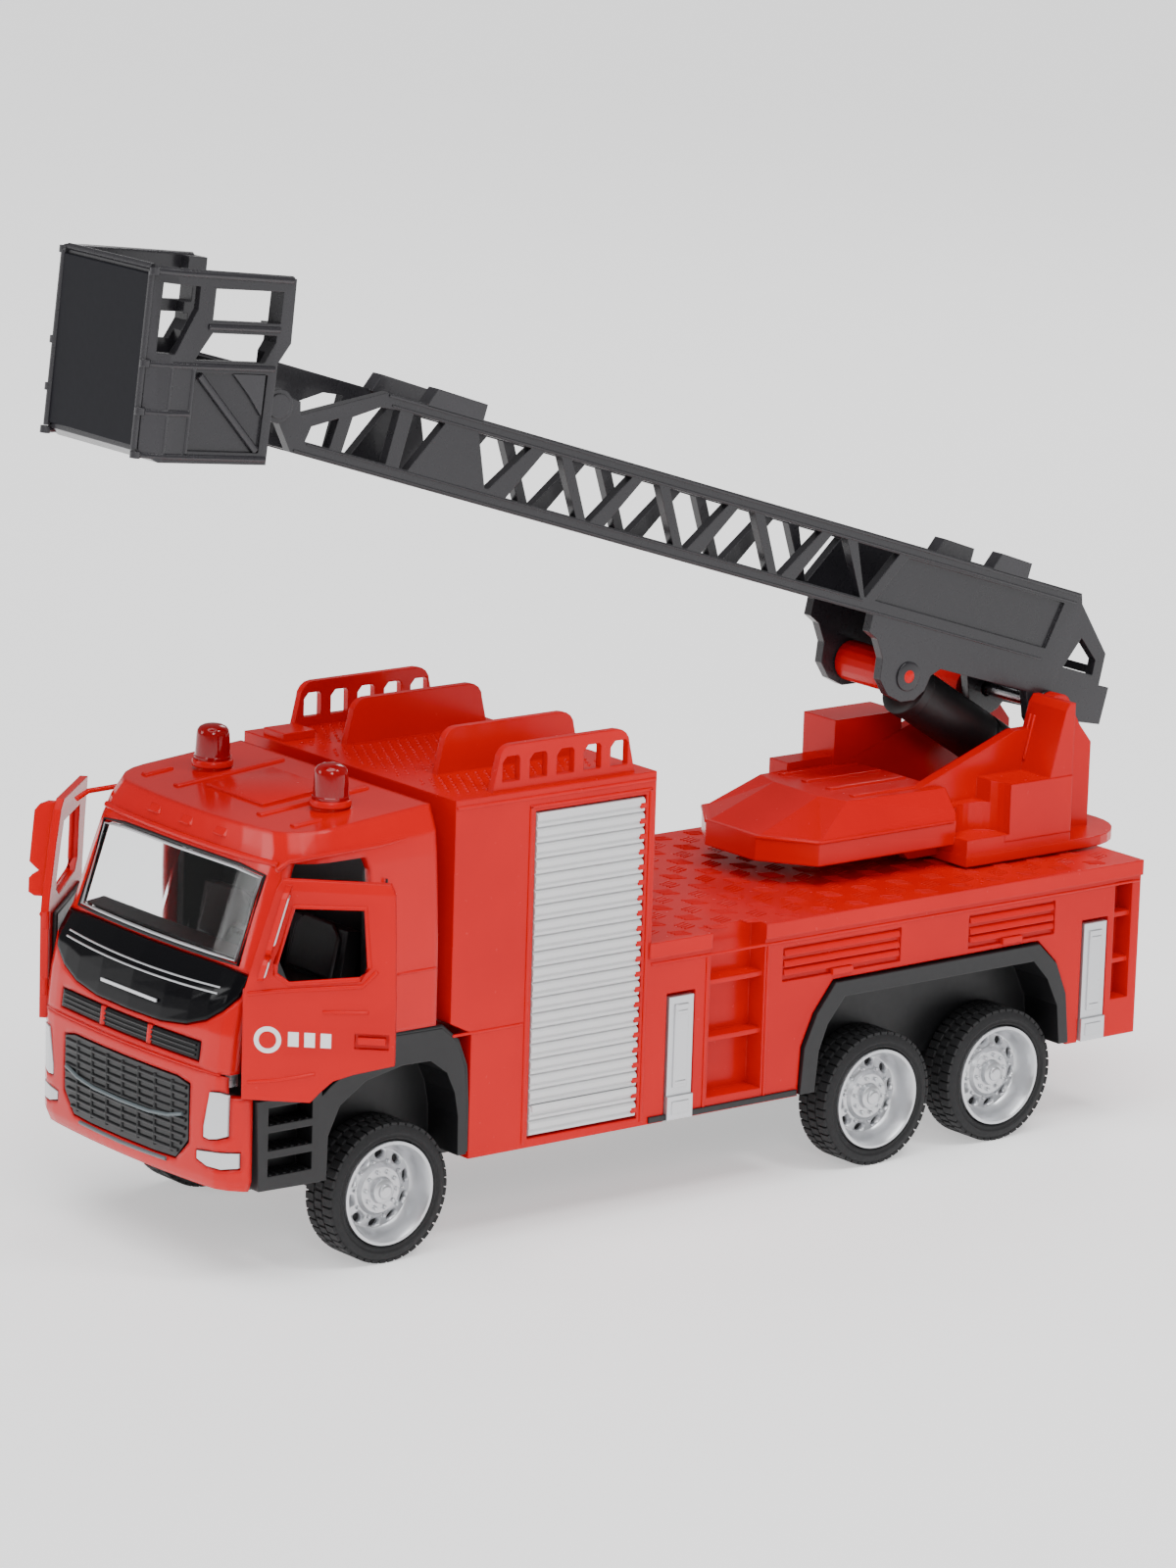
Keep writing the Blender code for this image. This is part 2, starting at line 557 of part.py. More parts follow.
def body_side(body, flip, name):
    """Pockets, recesses, wheel arch and fence slots on one side of the body."""
    for key, (y0, y1, z0, z1, treads) in LADDER_POCKETS.items():
        depth = 3.4
        top = min(z1 + 1.3, DECK_TOP - 0.4)
        join(body, side_box(f"pocket_wall_{key}_{name}", flip, HALF_WIDTH - depth - 1.2, HALF_WIDTH - 0.3,
                            y0 - 1.3, min(y1 + 1.3, DECK_REAR - 0.6), z0 - 1.2, top))
        cut(body, side_box(f"pocket_{key}_{name}", flip, HALF_WIDTH - depth, 30, y0, y1, z0, z1))
        for z in treads:
            join(body, side_box(f"tread_{key}_{name}_{z}", flip, HALF_WIDTH - depth - 0.5, HALF_WIDTH - 0.6,
                                y0 - 0.5, y1 + 0.5, z - 0.8, z))
    y0, y1, z0, z1 = SHUTTER
    cut(body, side_box(f"shutter_recess_{name}", flip, HALF_WIDTH - 1.0, 30, y0, y1, z0, z1))
    for key, y in OUTRIGGERS.items():
        cut(body, side_box(f"outrigger_recess_{key}_{name}", flip, HALF_WIDTH - 1.1, 30,
                           y - 2.7, y + 2.7, 10, 33.2))
    for index, (y0, y1) in enumerate(LOUVRES):
        cut(body, side_box(f"louvre_{index}_{name}", flip, HALF_WIDTH - 0.5, 30, y0, y1, 31.9, 37.2))
    low, high = sorted((flip * 17.2, flip * 30))
    arch = [(99.5, 10.0), (100.1, 21.2), (102.3, 26.2), (106.0, 30.9), (147.4, 31.2), (151.3, 27.4),
            (153.6, 22.1), (154.5, 10.0)]
    cut(body, prism(f"wheel_arch_{name}", "x", arch, low, high))
    for index in range(5):
        y = 42.9 + index * 4.95
        slot_low, slot_high = sorted((flip * 22.0, flip * 27.0))
        slot = [(y, 68.8), (y + 3.2, 68.8), (y + 3.2, 72.0), (y + 2.8, 72.5), (y + 0.8, 72.5), (y, 71.6)]
        cut(body, prism(f"fence_slot_{index}_{name}", "x", slot, slot_low, slot_high))


def shutter(flip, name, mat):
    """A roller shutter: a ribbed plate in its recess."""
    y0, y1, z0, z1 = SHUTTER
    ribs = 21
    pitch = (z1 - z0 - 2 * GAP) / ribs
    back, face = HALF_WIDTH - 0.7, HALF_WIDTH - 0.05
    outline = [(flip * back, z0 + GAP)]
    for i in range(ribs):
        z = z0 + GAP + i * pitch
        outline += [(flip * (face - 0.25), z + 0.02), (flip * face, z + 0.25 * pitch),
                    (flip * face, z + 0.85 * pitch), (flip * (face - 0.25), z + pitch - 0.02)]
    outline.append((flip * back, z1 - GAP))
    return finish(prism(f"shutter_{name}", "y", outline, y0 + GAP, y1 - GAP), mat)


def outrigger(flip, key, y, name, mat):
    """A stabiliser leg folded against the body, with its foot."""
    leg = side_box(f"outrigger_{key}_{name}", flip, HALF_WIDTH - 0.8, HALF_WIDTH + 0.2, y - 2.3, y + 2.3, 14.0, 32.6)
    join(leg, side_box(f"outrigger_foot_{key}_{name}", flip, HALF_WIDTH - 0.75, HALF_WIDTH + 0.6,
                       y - 2.4, y + 2.4, 13.8, 17.4))
    return finish(leg, mat)


# ---------------------------------------------------------------- turntable
def turntable(mat):
    """The slewing base: round-ended plate, nose, side boxes, channel walls and pivot posts."""
    def at(x, y, z):
        return local(x, y - SWING_Y, z)

    plate = [(-17.3, 139.8), (17.3, 139.8)]
    plate += arc(7.3, 165.8, 10.0, 0, 90, 7) + arc(-7.3, 165.8, 10.0, 90, 180, 7)
    base = prism("turntable", "z", plate, TURNTABLE_BOTTOM, 43.5, at)
    base.location = place(0, SWING_Y, 0)
    join(base, box("base_box", (-17.2, 139.9, 42.1), (17.2, 161.4, 46.1), at))
    nose = [(-6.0, 106.7), (6.0, 106.7), (14.2, 112.6), (14.2, 141.0), (-14.2, 141.0), (-14.2, 112.6)]
    join(base, prism("nose", "z", nose, 44.9, 48.8, at))
    hood_low = [(-6.0, 106.8), (6.0, 106.8), (14.1, 112.7), (14.1, 140.9), (-14.1, 140.9), (-14.1, 112.7)]
    hood_high = [(-5.4, 119.6), (5.4, 119.6), (10.4, 121.0), (11.6, 139.9), (-11.6, 139.9), (-10.4, 121.0)]
    join(base, loft("hood", [[(x, y, 48.5) for x, y in hood_low], [(x, y, 53.4) for x, y in hood_high]], at))
    wall = [(131.0, 46.0), (131.0, 51.6), (134.2, 52.9), (155.0, 60.4), (166.5, 60.4), (166.5, 42.5), (134.0, 42.5)]
    y, z = BOOM_PIVOT
    bracket = [(156.8, 46.0), (157.2, 56.0), (160.0, 62.6)] + arc(y, z, 2.3, 160, 20, 6)
    bracket += [(167.2, 61.6), (168.2, 60.0), (170.7, 57.0), (170.7, 43.0), (156.8, 43.0)]
    post = [(156.6, 46.0), (156.6, 54.0), (159.4, 64.4), (160.2, 65.5), (161.3, 65.5), (161.3, 46.0)]
    for flip in (-1, 1):
        low, high = sorted((flip * 8.3, flip * 10.3))
        join(base, prism(f"channel_wall_{flip}", "x", wall, low, high, at))
        low, high = sorted((flip * 8.4, flip * 17.3))
        join(base, box(f"side_box_{flip}", (low, 147.6, 45.0), (high, 161.3, 54.0), at))
        low, high = sorted((flip * 8.35, flip * 10.9))
        join(base, prism(f"bracket_{flip}", "x", bracket, low, high, at))
        low, high = sorted((flip * 8.45, flip * 17.2))
        join(base, prism(f"post_{flip}", "x", post, low, high, at))
        low, high = sorted((flip * 8.5, flip * 14.0))
        join(base, box(f"infill_{flip}", (low, 140.6, 45.4), (high, 148.0, 50.6), at))
    join(base, box("console", (-16.2, 134.3, 50.0), (-8.5, 148.0, 60.8), at))
    join(base, box("locker", (-13.6, 125.4, 50.4), (-9.2, 134.6, 54.9), at))
    cut(base, box("channel", (-8.3, 139.6, 46.1), (8.3, 180.0, 70.0), at))
    for flip in (-1, 1):
        cut(base, rod(f"side_recess_{flip}", "z", (flip * 16.3, 144.1, 0), 4.5, 46.1, 56.0, at, 24))
    join(base, rod("hub", "z", (0, SWING_Y, 0), 5.9, 38.9, 42.6, at, 24))
    cut(base, rod("hub_hole", "z", (0, SWING_Y, 0), 1.5, 36.0, 44.6, at, 16))
    pins = (("boom_pin_hole", BOOM_PIVOT, 1.3, 11.6), ("barrel_pin_hole", BARREL_PIVOT, 1.3, 9.8))
    for name, (y, z), radius, reach in pins:
        cut(base, rod(name, "x", (0, y, z), radius, -reach, reach, at, 16))
    return finish(base, mat)


def turntable_fixings(black, steel, red):
    retainer = turned("turntable_retainer", [(37.0, 1.5), (37.0, 8.6), (38.6, 8.6), (38.6, 1.5)],
                      (0, 0, 0), "z", 24, local)
    retainer.location = place(0, SWING_Y, 0)
    finish(retainer, black)
    profile = [(35.6, 0), (35.6, 2.0), (36.7, 2.6), (36.7, 1.2), (44.2, 1.2), (44.2, 0)]
    screw = turned("turntable_screw", profile, (0, 0, 0), "z", 16, local)
    screw.location = place(0, SWING_Y, 0)
    finish(screw, steel)
    for name, (y, z), radius, reach in (("boom_pin", BOOM_PIVOT, 1.0, 10.9), ("barrel_pin", BARREL_PIVOT, 1.0, 9.5)):
        pin = rod(name, "x", (0, 0, 0), radius, -reach, reach, local, 16)
        pin.location = place(0, y, z)
        finish(pin, steel)


# ---------------------------------------------------------------- boom
CHORD_LOW = (6.3, 8.3)          # bottom chord, from and to, above the boom's axis
CHORD_HIGH = (16.3, 18.3)
BAY = 19.5                      # pitch of the truss bays


def boom_point(x, along, above):
    """A point of the boom in its own frame: along runs forwards from the pivot."""
    return local(x, -along, above)


def boom_prism(name, outline, low, high):
    """An outline in (along, above) extruded across the boom."""
    return prism(name, "x", outline, low, high, boom_point)


def truss_holes():
    """The openings between the webs of one side frame."""
    low, high = CHORD_LOW[1], CHORD_HIGH[0]
    holes = []
    for bay in range(4):
        shift = BAY * bay
        holes.append([(116.4 - shift, low), (111.6 - shift, high), (108.3 - shift, high), (102.6 - shift, low)])
        if bay < 3:
            holes.append([(106.2 - shift, high), (94.2 - shift, high), (99.8 - shift, low), (100.7 - shift, low)])
    holes.append([(47.6, high), (38.6, high), (43.0, low + 0.3), (43.4, low + 0.3)])
    holes.append([(124.4, high), (114.2, high), (119.9, low + 0.6), (120.7, low + 0.6)])
    holes.append([(136.9, low), (136.9, high), (130.8, high), (135.2, low)])
    holes.append([(147.6, low), (147.3, 13.5), (143.0, 15.9), (139.4, high), (139.4, low)])
    holes.append([(154.4, low), (154.0, 10.6), (149.6, 12.8), (149.9, low)])
    holes.append([(-3.4, 11.6), (-7.6, 8.8), (-7.8, 6.4), (-1.2, 6.4)])
    return holes


def boom(mat):
    """The ladder boom: two truss side frames, floor rungs, lift ears and a tail block."""
    y, z = BOOM_PIVOT
    eye_along, eye_above = BASKET_HINGE
    frame = [(156.4, CHORD_LOW[0]), (160.4, 10.6)]
    frame += arc(eye_along, eye_above, 2.2, -50, 110, 6)
    frame += [(157.0, 13.6), (156.4, 11.8)]
    near = frame + [(142.3, CHORD_HIGH[1])]
    far = frame + [(152.8, CHORD_HIGH[1])]
    tail = [(-0.9, CHORD_HIGH[1]), (-1.6, 16.7), (-9.4, 10.2), (-9.8, 5.1), (-12.0, 5.2), (-12.2, -0.8), (-7.6, -1.3)]
    tail += arc(0, 0, 4.2, 200, 318, 6)
    tail += [(5.0, 1.2), (24.0, 1.0), (25.6, -0.4), (26.0, -2.8), (27.6, -4.7), (30.2, -5.5), (33.2, -5.0),
             (35.6, -3.0), (36.2, 0.2), (38.3, 2.8), (40.4, 3.6), (40.6, CHORD_LOW[0])]
    inner, outer = BOOM_HALF_WIDTH - BOOM_PLATE, BOOM_HALF_WIDTH
    main = boom_prism("boom", near + tail, inner, outer)
    main.location = place(0, y, z)
    main.rotation_euler = (-BOOM_RISE, 0, 0)
    join(main, boom_prism("boom_right_frame", far + tail, -outer, -inner))
    floor_low, floor_high = CHORD_LOW[0] + 0.2, CHORD_LOW[0] + 1.5
    plates = [(-9.0, 50.6)] + [(97.3 - BAY * k - 5.4, 97.3 - BAY * k + 5.4) for k in (2, 1, 0, -1)]
    plates += [(127.0, 139.6), (147.4, 155.8)]
    for index, (start, end) in enumerate(plates):
        join(main, boom_prism(f"boom_floor_{index}", [(start, floor_low), (end, floor_low), (end, floor_high),
                                                      (start, floor_high)], -inner - 0.5, inner + 0.5))
    join(main, boom_prism("boom_tail", [(-11.8, -0.6), (-8.0, -1.1), (-5.6, 4.2), (-11.6, 5.0)],
                          -inner - 0.5, inner + 0.5))
    for flip in (-1, 1):
        low, high = sorted((flip * (inner - 0.6), flip * (outer + 0.2)))
        for start, end in ((124.3, 135.0), (11.4, 19.2)):
            tab = [(start, 18.0), (end, 18.0), (end - 1.2, 20.8), (start, 20.6)]
            join(main, boom_prism(f"boom_tab_{flip}_{start}", tab, low, high))
        low, high = sorted((flip * (outer - 0.5), flip * (outer + 2)))
        panel = [(41.0, 8.5), (3.6, 8.5), (2.2, 16.1), (36.6, 16.1)]
        cut(main, boom_prism(f"boom_panel_{flip}", panel, low, high))
    for index, hole in enumerate(truss_holes()):
        cut(main, boom_prism(f"boom_hole_{index}", hole, -20, 20))
    for name, (along, above), radius in (("pivot", (0, 0), 1.3), ("ear", LIFT_EAR, 1.5), ("eye", BASKET_HINGE, 1.2)):
        cut(main, rod(f"boom_bore_{name}", "x", (0, along, above), radius, -20, 20, boom_point, 16))
    return finish(main, mat)


def lift_geometry():
    """Ear hole at rest, and the angle and length from the barrel pivot to it."""
    along, above = LIFT_EAR
    y = BOOM_PIVOT[0] - along * math.cos(BOOM_RISE) + above * math.sin(BOOM_RISE)
    z = BOOM_PIVOT[1] + along * math.sin(BOOM_RISE) + above * math.cos(BOOM_RISE)
    rise = math.atan2(z - BARREL_PIVOT[1], BARREL_PIVOT[0] - y)
    return y, z, rise


def lift_cylinder(black, red):
    """The lifting strut: a barrel hinged on the turntable, a rod hung from the boom's ears."""
    ear_y, ear_z, rise = lift_geometry()
    barrel = turned("lift_barrel", [(-3.6, 0), (-3.6, 3.2), (-2.6, 4.2), (BARREL_LENGTH - 0.8, 4.2),
                                    (BARREL_LENGTH, 3.8), (BARREL_LENGTH, 3.0), (2.2, 3.0), (2.2, 0)],
                    (0, 0, 0), "y", ROUND_SEGMENTS, lambda x, y, z: local(x, -y, z))
    barrel.location = place(0, *BARREL_PIVOT)
    barrel.rotation_euler = (-rise, 0, 0)
    cut(barrel, rod("barrel_bore", "x", (0, 0, 0), 1.25, -10, 10, local, 16))
    finish(barrel, black)
    strut = rod("lift_rod", "y", (0, 0, 0), 1.6, 0.5, ROD_LENGTH, local, 16)
    strut.location = place(0, ear_y, ear_z)
    strut.rotation_euler = (-rise, 0, 0)
    head = [(-7.7, 0), (-7.7, 1.2), (-5.9, 1.2), (-5.9, 3.2), (5.9, 3.2), (5.9, 1.2), (7.7, 1.2), (7.7, 0)]
    join(strut, turned("lift_head", head, (0, 0, 0), "x", 18, local))
    finish(strut, red)


# ---------------------------------------------------------------- basket
def basket(mat):
    """The rescue basket: an open-topped cage with a plain front, hinged on two ears."""
    along, above = BASKET_HINGE
    y = BOOM_PIVOT[0] - along * math.cos(BOOM_RISE) + above * math.sin(BOOM_RISE)
    z = BOOM_PIVOT[1] + along * math.sin(BOOM_RISE) + above * math.cos(BOOM_RISE)
    side = [(1.0, 18.3), (24.4, 18.8), (24.0, -6.9), (21.3, -8.2), (2.9, -8.1), (2.7, 6.3), (0.8, 9.2)]
    cage = boom_prism("basket", side, -12.5, 12.5)
    cage.location = place(0, y, z)
    cage.rotation_euler = (-BASKET_PITCH, 0, 0)
    for flip in (-1, 1):
        wedge = [(flip * 10.8, 25.0), (flip * 12.7, 20.6), (flip * 16.0, 20.6), (flip * 16.0, 27.0)]
        cut(cage, prism(f"basket_corner_{flip}", "z", [(x, -f) for x, f in wedge], -12, 24, local))
    hollow = [(-9.9, 22.7), (9.9, 22.7), (11.3, 19.6), (11.3, 4.2), (-11.3, 4.2), (-11.3, 19.6)]
    cut(cage, prism("basket_hollow", "z", [(x, -f) for x, f in hollow], -7.0, 24.0, local))
    entry = [(-9.4, 4.9), (9.4, 4.9), (9.4, 24.0), (-9.4, 24.0)]
    cut(cage, prism("basket_entry", "y", entry, -6.0, 2.0, local))
    windows = [[(3.0, 11.9), (3.0, 16.4), (14.6, 16.4), (14.6, 11.9)],
               [(5.0, 6.3), (3.4, 9.2), (3.4, 10.2), (14.4, 10.2), (17.0, 6.3)]]
    for index, outline in enumerate(windows):
        cut(cage, boom_prism(f"basket_window_{index}", outline, -20, 20))
    corner = [(17.3, 16.6), (23.0, 16.8), (23.0, 7.0), (20.4, 7.0), (17.3, 13.4)]
    for flip in (-1, 1):
        low, high = sorted((flip * 9.7, flip * 20.0))
        cut(cage, boom_prism(f"basket_corner_window_{flip}", corner, low, high))
    for flip in (-1, 1):
        low, high = sorted((flip * 12.1, flip * 14))
        panel = [(4.4, -6.4), (4.2, 4.6), (16.6, 4.6), (16.6, -6.4)]
        cut(cage, boom_prism(f"basket_panel_{flip}", panel, low, high))
        low, high = sorted((flip * 8.15, flip * 10.2))
        ear = arc(0, 0, 2.5, 60, 300, 8) + [(3.6, -4.2), (3.6, 4.2)]
        join(cage, boom_prism(f"basket_ear_{flip}", ear, low, high))
    cut(cage, rod("basket_bore", "x", (0, 0, 0), 1.2, -20, 20, local, 16))
    finish(cage, mat)
    return y, z


def basket_pin(y, z, mat):
    pin = rod("basket_pin", "x", (0, 0, 0), 0.9, -10.0, 10.0, local, 16)
    pin.location = place(0, y, z)
    finish(pin, mat)


# ---------------------------------------------------------------- build
def build():
    for obj in list(bpy.data.objects):
        bpy.data.objects.remove(obj, do_unlink=True)
    red = material("red_gloss", RED, 0.22)
    charcoal = material("charcoal_plastic", CHARCOAL, 0.42)
    black = material("black_plastic", BLACK, 0.45)
    silver = material("silver_paint", SILVER, 0.32, 0.6)
    steel = material("steel", STEEL, 0.3, 1.0)
    rubber = material("tyre_rubber", BLACK, 0.75)
    clear = material("clear_plastic", CLEAR, 0.05, 0.0, 1.0)
    lens_red = material("beacon_red", RED, 0.08, 0.0, 0.6)

    cab_shell(red)
    cab_front_pieces(red, black, clear)
    cab_interior(black)
    chassis(black)
    screws(steel)
    wheels(rubber, silver, steel)
    rear_body(red)
    turntable(red)
    turntable_fixings(black, steel, red)
    boom(charcoal)
    lift_cylinder(black, red)
    y, z = basket(charcoal)
    basket_pin(y, z, steel)
    for side, name in ((1, "left"), (-1, "right")):
        door(side, name, red)
        beacon(side, name, lens_red)
        front_guard(side, name, black)
        rear_arch(side, name, black)
        shutter(side, name, silver)
        for key, middle in OUTRIGGERS.items():
            outrigger(side, key, middle, name, silver)


build()
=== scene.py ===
"""Looks for the toy fire engine: finishes for every piece, and the fine detail that rides on them."""
import math

import bmesh
import bpy
from mathutils import Matrix, Vector


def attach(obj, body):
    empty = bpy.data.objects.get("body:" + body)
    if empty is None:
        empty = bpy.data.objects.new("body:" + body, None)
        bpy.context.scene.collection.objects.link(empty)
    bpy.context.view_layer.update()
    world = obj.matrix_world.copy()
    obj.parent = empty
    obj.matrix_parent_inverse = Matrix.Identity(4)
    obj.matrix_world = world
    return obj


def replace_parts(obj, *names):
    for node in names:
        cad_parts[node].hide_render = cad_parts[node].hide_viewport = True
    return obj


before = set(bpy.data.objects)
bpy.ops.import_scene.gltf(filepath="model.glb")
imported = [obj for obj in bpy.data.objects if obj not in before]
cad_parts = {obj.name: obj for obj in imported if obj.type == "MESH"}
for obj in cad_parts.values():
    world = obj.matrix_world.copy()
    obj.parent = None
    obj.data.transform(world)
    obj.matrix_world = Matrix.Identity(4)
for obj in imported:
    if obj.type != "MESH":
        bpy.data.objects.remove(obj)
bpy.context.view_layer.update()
MM = 0.001
Y0 = 82.5                       # y of the origin in the truck's own millimetres
BOOM_PIVOT = (163.8, 63.1)      # y, z on the truck
BOOM_RISE = 17.65               # degrees above level
BASKET_HINGE = (162.3, 12.1)    # along, above on the boom
BASKET_PITCH = 6.5              # degrees, nose up
STRUT_EAR = (30.2, -1.4)        # along, above on the boom
BARREL_PIVOT = (159.5, 55.3)    # y, z on the truck
DOOR_HINGE = (25.5, -1.7)       # x, y on the truck
DOOR_OPEN = 43.0                # degrees
WHEEL_X, WHEEL_Z = 22.55, 10.5
AXLE_Y = {"front": 23.9, "middle": 116.2, "rear": 141.0}
RIM_SPOKES = 10
TREAD_BLOCKS = 46
SLATS = 21
SIDES = ((1, "left"), (-1, "right"))

# ------------------------------------------------------------------ frames of the moving bodies
TRUCK = Matrix.Scale(MM, 4) @ Matrix.Translation((0, -Y0, 0))
RISE = math.radians(BOOM_RISE)
# boom and basket points are (x across, along forwards, above)
BOOM = (TRUCK @ Matrix.Translation((0, *BOOM_PIVOT)) @ Matrix.Rotation(-RISE, 4, 'X')
        @ Matrix.Diagonal((1, -1, 1, 1)))
TIP = TRUCK.inverted() @ BOOM @ Vector((0, *BASKET_HINGE))
BASKET = (TRUCK @ Matrix.Translation(TIP) @ Matrix.Rotation(math.radians(-BASKET_PITCH), 4, 'X')
          @ Matrix.Diagonal((1, -1, 1, 1)))
EAR = TRUCK.inverted() @ BOOM @ Vector((0, *STRUT_EAR))
BARREL_AT = Vector((0, *BARREL_PIVOT))
STRUT_RISE = math.atan2(EAR.z - BARREL_AT.z, BARREL_AT.y - EAR.y)
BARREL = (TRUCK @ Matrix.Translation(BARREL_AT) @ Matrix.Rotation(-STRUT_RISE, 4, 'X')
          @ Matrix.Diagonal((1, -1, 1, 1)))


def door_frame(side):
    """Closed-door coordinates carried round the hinge to the open door."""
    hinge = Matrix.Translation((side * DOOR_HINGE[0], DOOR_HINGE[1], 0))
    swing = Matrix.Rotation(-side * math.radians(DOOR_OPEN), 4, 'Z')
    return TRUCK @ hinge @ swing @ hinge.inverted()


# ------------------------------------------------------------------ materials
def finish(name, colour, rough, metallic=0.0, coat=0.0, grain=0.02, scale=900.0, edge=0.25, vary=0.1,
           transmission=0.0, ior=1.47, soft=0.0003, shine=0.5):
    """A moulded finish: slight colour and gloss variation, a painted highlight that lightens convex edges,
    fine surface, softened edges.
    """
    mat = bpy.data.materials.new(name)
    mat.use_nodes = True
    nodes, links = mat.node_tree.nodes, mat.node_tree.links
    shader = nodes["Principled BSDF"]
    shader.inputs["Metallic"].default_value = metallic
    shader.inputs["Coat Weight"].default_value = coat
    shader.inputs["Coat Roughness"].default_value = 0.06
    shader.inputs["Specular IOR Level"].default_value = shine
    shader.inputs["Transmission Weight"].default_value = transmission
    shader.inputs["IOR"].default_value = ior
    where = nodes.new("ShaderNodeTexCoord")
    broad = nodes.new("ShaderNodeTexNoise")
    broad.inputs["Scale"].default_value = 38.0
    broad.inputs["Detail"].default_value = 4.0
    links.new(where.outputs["Object"], broad.inputs["Vector"])
    fine = nodes.new("ShaderNodeTexNoise")
    fine.inputs["Scale"].default_value = scale
    fine.inputs["Detail"].default_value = 3.0
    links.new(where.outputs["Object"], fine.inputs["Vector"])
    ramp = nodes.new("ShaderNodeValToRGB")
    ramp.color_ramp.elements[0].position = 0.3
    ramp.color_ramp.elements[1].position = 0.72
    ramp.color_ramp.elements[0].color = (*[c * (1 - vary) for c in colour], 1)
    ramp.color_ramp.elements[1].color = (*[min(1, c * (1 + vary * 0.6)) for c in colour], 1)
    links.new(broad.outputs["Fac"], ramp.inputs["Fac"])
    # Painted highlight: convex edges (high pointiness) get a lighter colour, weighted up to edge.
    edge_highlight_paint = nodes.new("ShaderNodeMix")
    edge_highlight_paint.data_type = 'RGBA'
    edge_highlight_paint.inputs["B"].default_value = (*[min(1, c * 1.3 + 0.004) for c in colour], 1)
    shape = nodes.new("ShaderNodeNewGeometry")
    rim = nodes.new("ShaderNodeMapRange")
    rim.inputs["From Min"].default_value = 0.52
    rim.inputs["From Max"].default_value = 0.64
    rim.inputs["To Max"].default_value = edge
    links.new(shape.outputs["Pointiness"], rim.inputs["Value"])
    links.new(rim.outputs["Result"], edge_highlight_paint.inputs["Factor"])
    links.new(ramp.outputs["Color"], edge_highlight_paint.inputs["A"])
    links.new(edge_highlight_paint.outputs["Result"], shader.inputs["Base Color"])
    gloss = nodes.new("ShaderNodeMapRange")
    gloss.inputs["To Min"].default_value = rough * 0.82
    gloss.inputs["To Max"].default_value = min(1.0, rough * 1.2)
    links.new(fine.outputs["Fac"], gloss.inputs["Value"])
    links.new(gloss.outputs["Result"], shader.inputs["Roughness"])
    bump = nodes.new("ShaderNodeBump")
    bump.inputs["Strength"].default_value = grain
    bump.inputs["Distance"].default_value = 0.0002
    links.new(fine.outputs["Fac"], bump.inputs["Height"])
    if soft > 0:
        round_edge = nodes.new("ShaderNodeBevel")
        round_edge.samples = 6
        round_edge.inputs["Radius"].default_value = soft
        links.new(round_edge.outputs["Normal"], bump.inputs["Normal"])
    links.new(bump.outputs["Normal"], shader.inputs["Normal"])
    return mat


# edge sets how strongly each finish paints a highlight on its convex edges.
RED = finish("red_gloss", (0.60, 0.0002, 0.0025), 0.25, coat=0.03, soft=0.00035, edge=0.2,
             grain=0.01, shine=0.2)
RED_SOFT = finish("red_cab", (0.60, 0.0002, 0.0025), 0.17, coat=0.08, soft=0.0011, edge=0.2,
                  grain=0.01, shine=0.26)
CHARCOAL = finish("charcoal_satin", (0.017, 0.016, 0.019), 0.28, coat=0.12, grain=0.04, edge=1.0,
                  soft=0.00022, shine=0.45)
PANEL = finish("charcoal_panel", (0.007, 0.007, 0.010), 0.36, grain=0.05, edge=0.3, soft=0.0,
               shine=0.12)
BLACK = finish("black_satin", (0.006, 0.006, 0.007), 0.42, grain=0.08, edge=0.5, soft=0.00025)
GLOSS = finish("black_gloss", (0.002, 0.002, 0.003), 0.14, coat=0.05, soft=0.0006, shine=0.15)
RUBBER = finish("tyre_rubber", (0.008, 0.008, 0.009), 0.68, grain=0.25, scale=1500, edge=0.5,
                vary=0.25, soft=0.00015)
SILVER = finish("silver_paint", (0.60, 0.61, 0.63), 0.30, metallic=0.72, grain=0.015, scale=2600,
                vary=0.05, soft=0.00015)
PALE = finish("pale_shutter", (0.68, 0.68, 0.69), 0.38, metallic=0.15, grain=0.04, vary=0.05,
              soft=0.0001)
STEEL = finish("steel", (0.55, 0.55, 0.57), 0.28, metallic=1.0, grain=0.05, soft=0.0001)
WHITE = finish("white_print", (0.86, 0.86, 0.87), 0.35, grain=0.01, vary=0.02, soft=0.0)
LAMP = finish("lamp_grey", (0.60, 0.61, 0.63), 0.18, metallic=0.3, coat=0.5, vary=0.12, soft=0.0002)
GREY = finish("grille_grey", (0.010, 0.010, 0.011), 0.4, grain=0.06, soft=0.0001)
CLEAR = finish("clear_glazing", (0.93, 0.95, 0.96), 0.05, grain=0.0, vary=0.01, transmission=1.0,
               ior=1.3, soft=0.0, edge=0.0)
BEACON = finish("beacon_red", (0.30, 0.0002, 0.003), 0.1, grain=0.01, vary=0.05, coat=0.15,
                transmission=0.08, soft=0.0, shine=0.35)
LINE = finish("grille_line", (0.10, 0.12, 0.13), 0.3, grain=0.02, soft=0.0)


# ------------------------------------------------------------------ mesh helpers
PUT = {"x": lambda a, b, c: (c, a, b), "y": lambda a, b, c: (a, c, b), "z": lambda a, b, c: (a, b, c)}


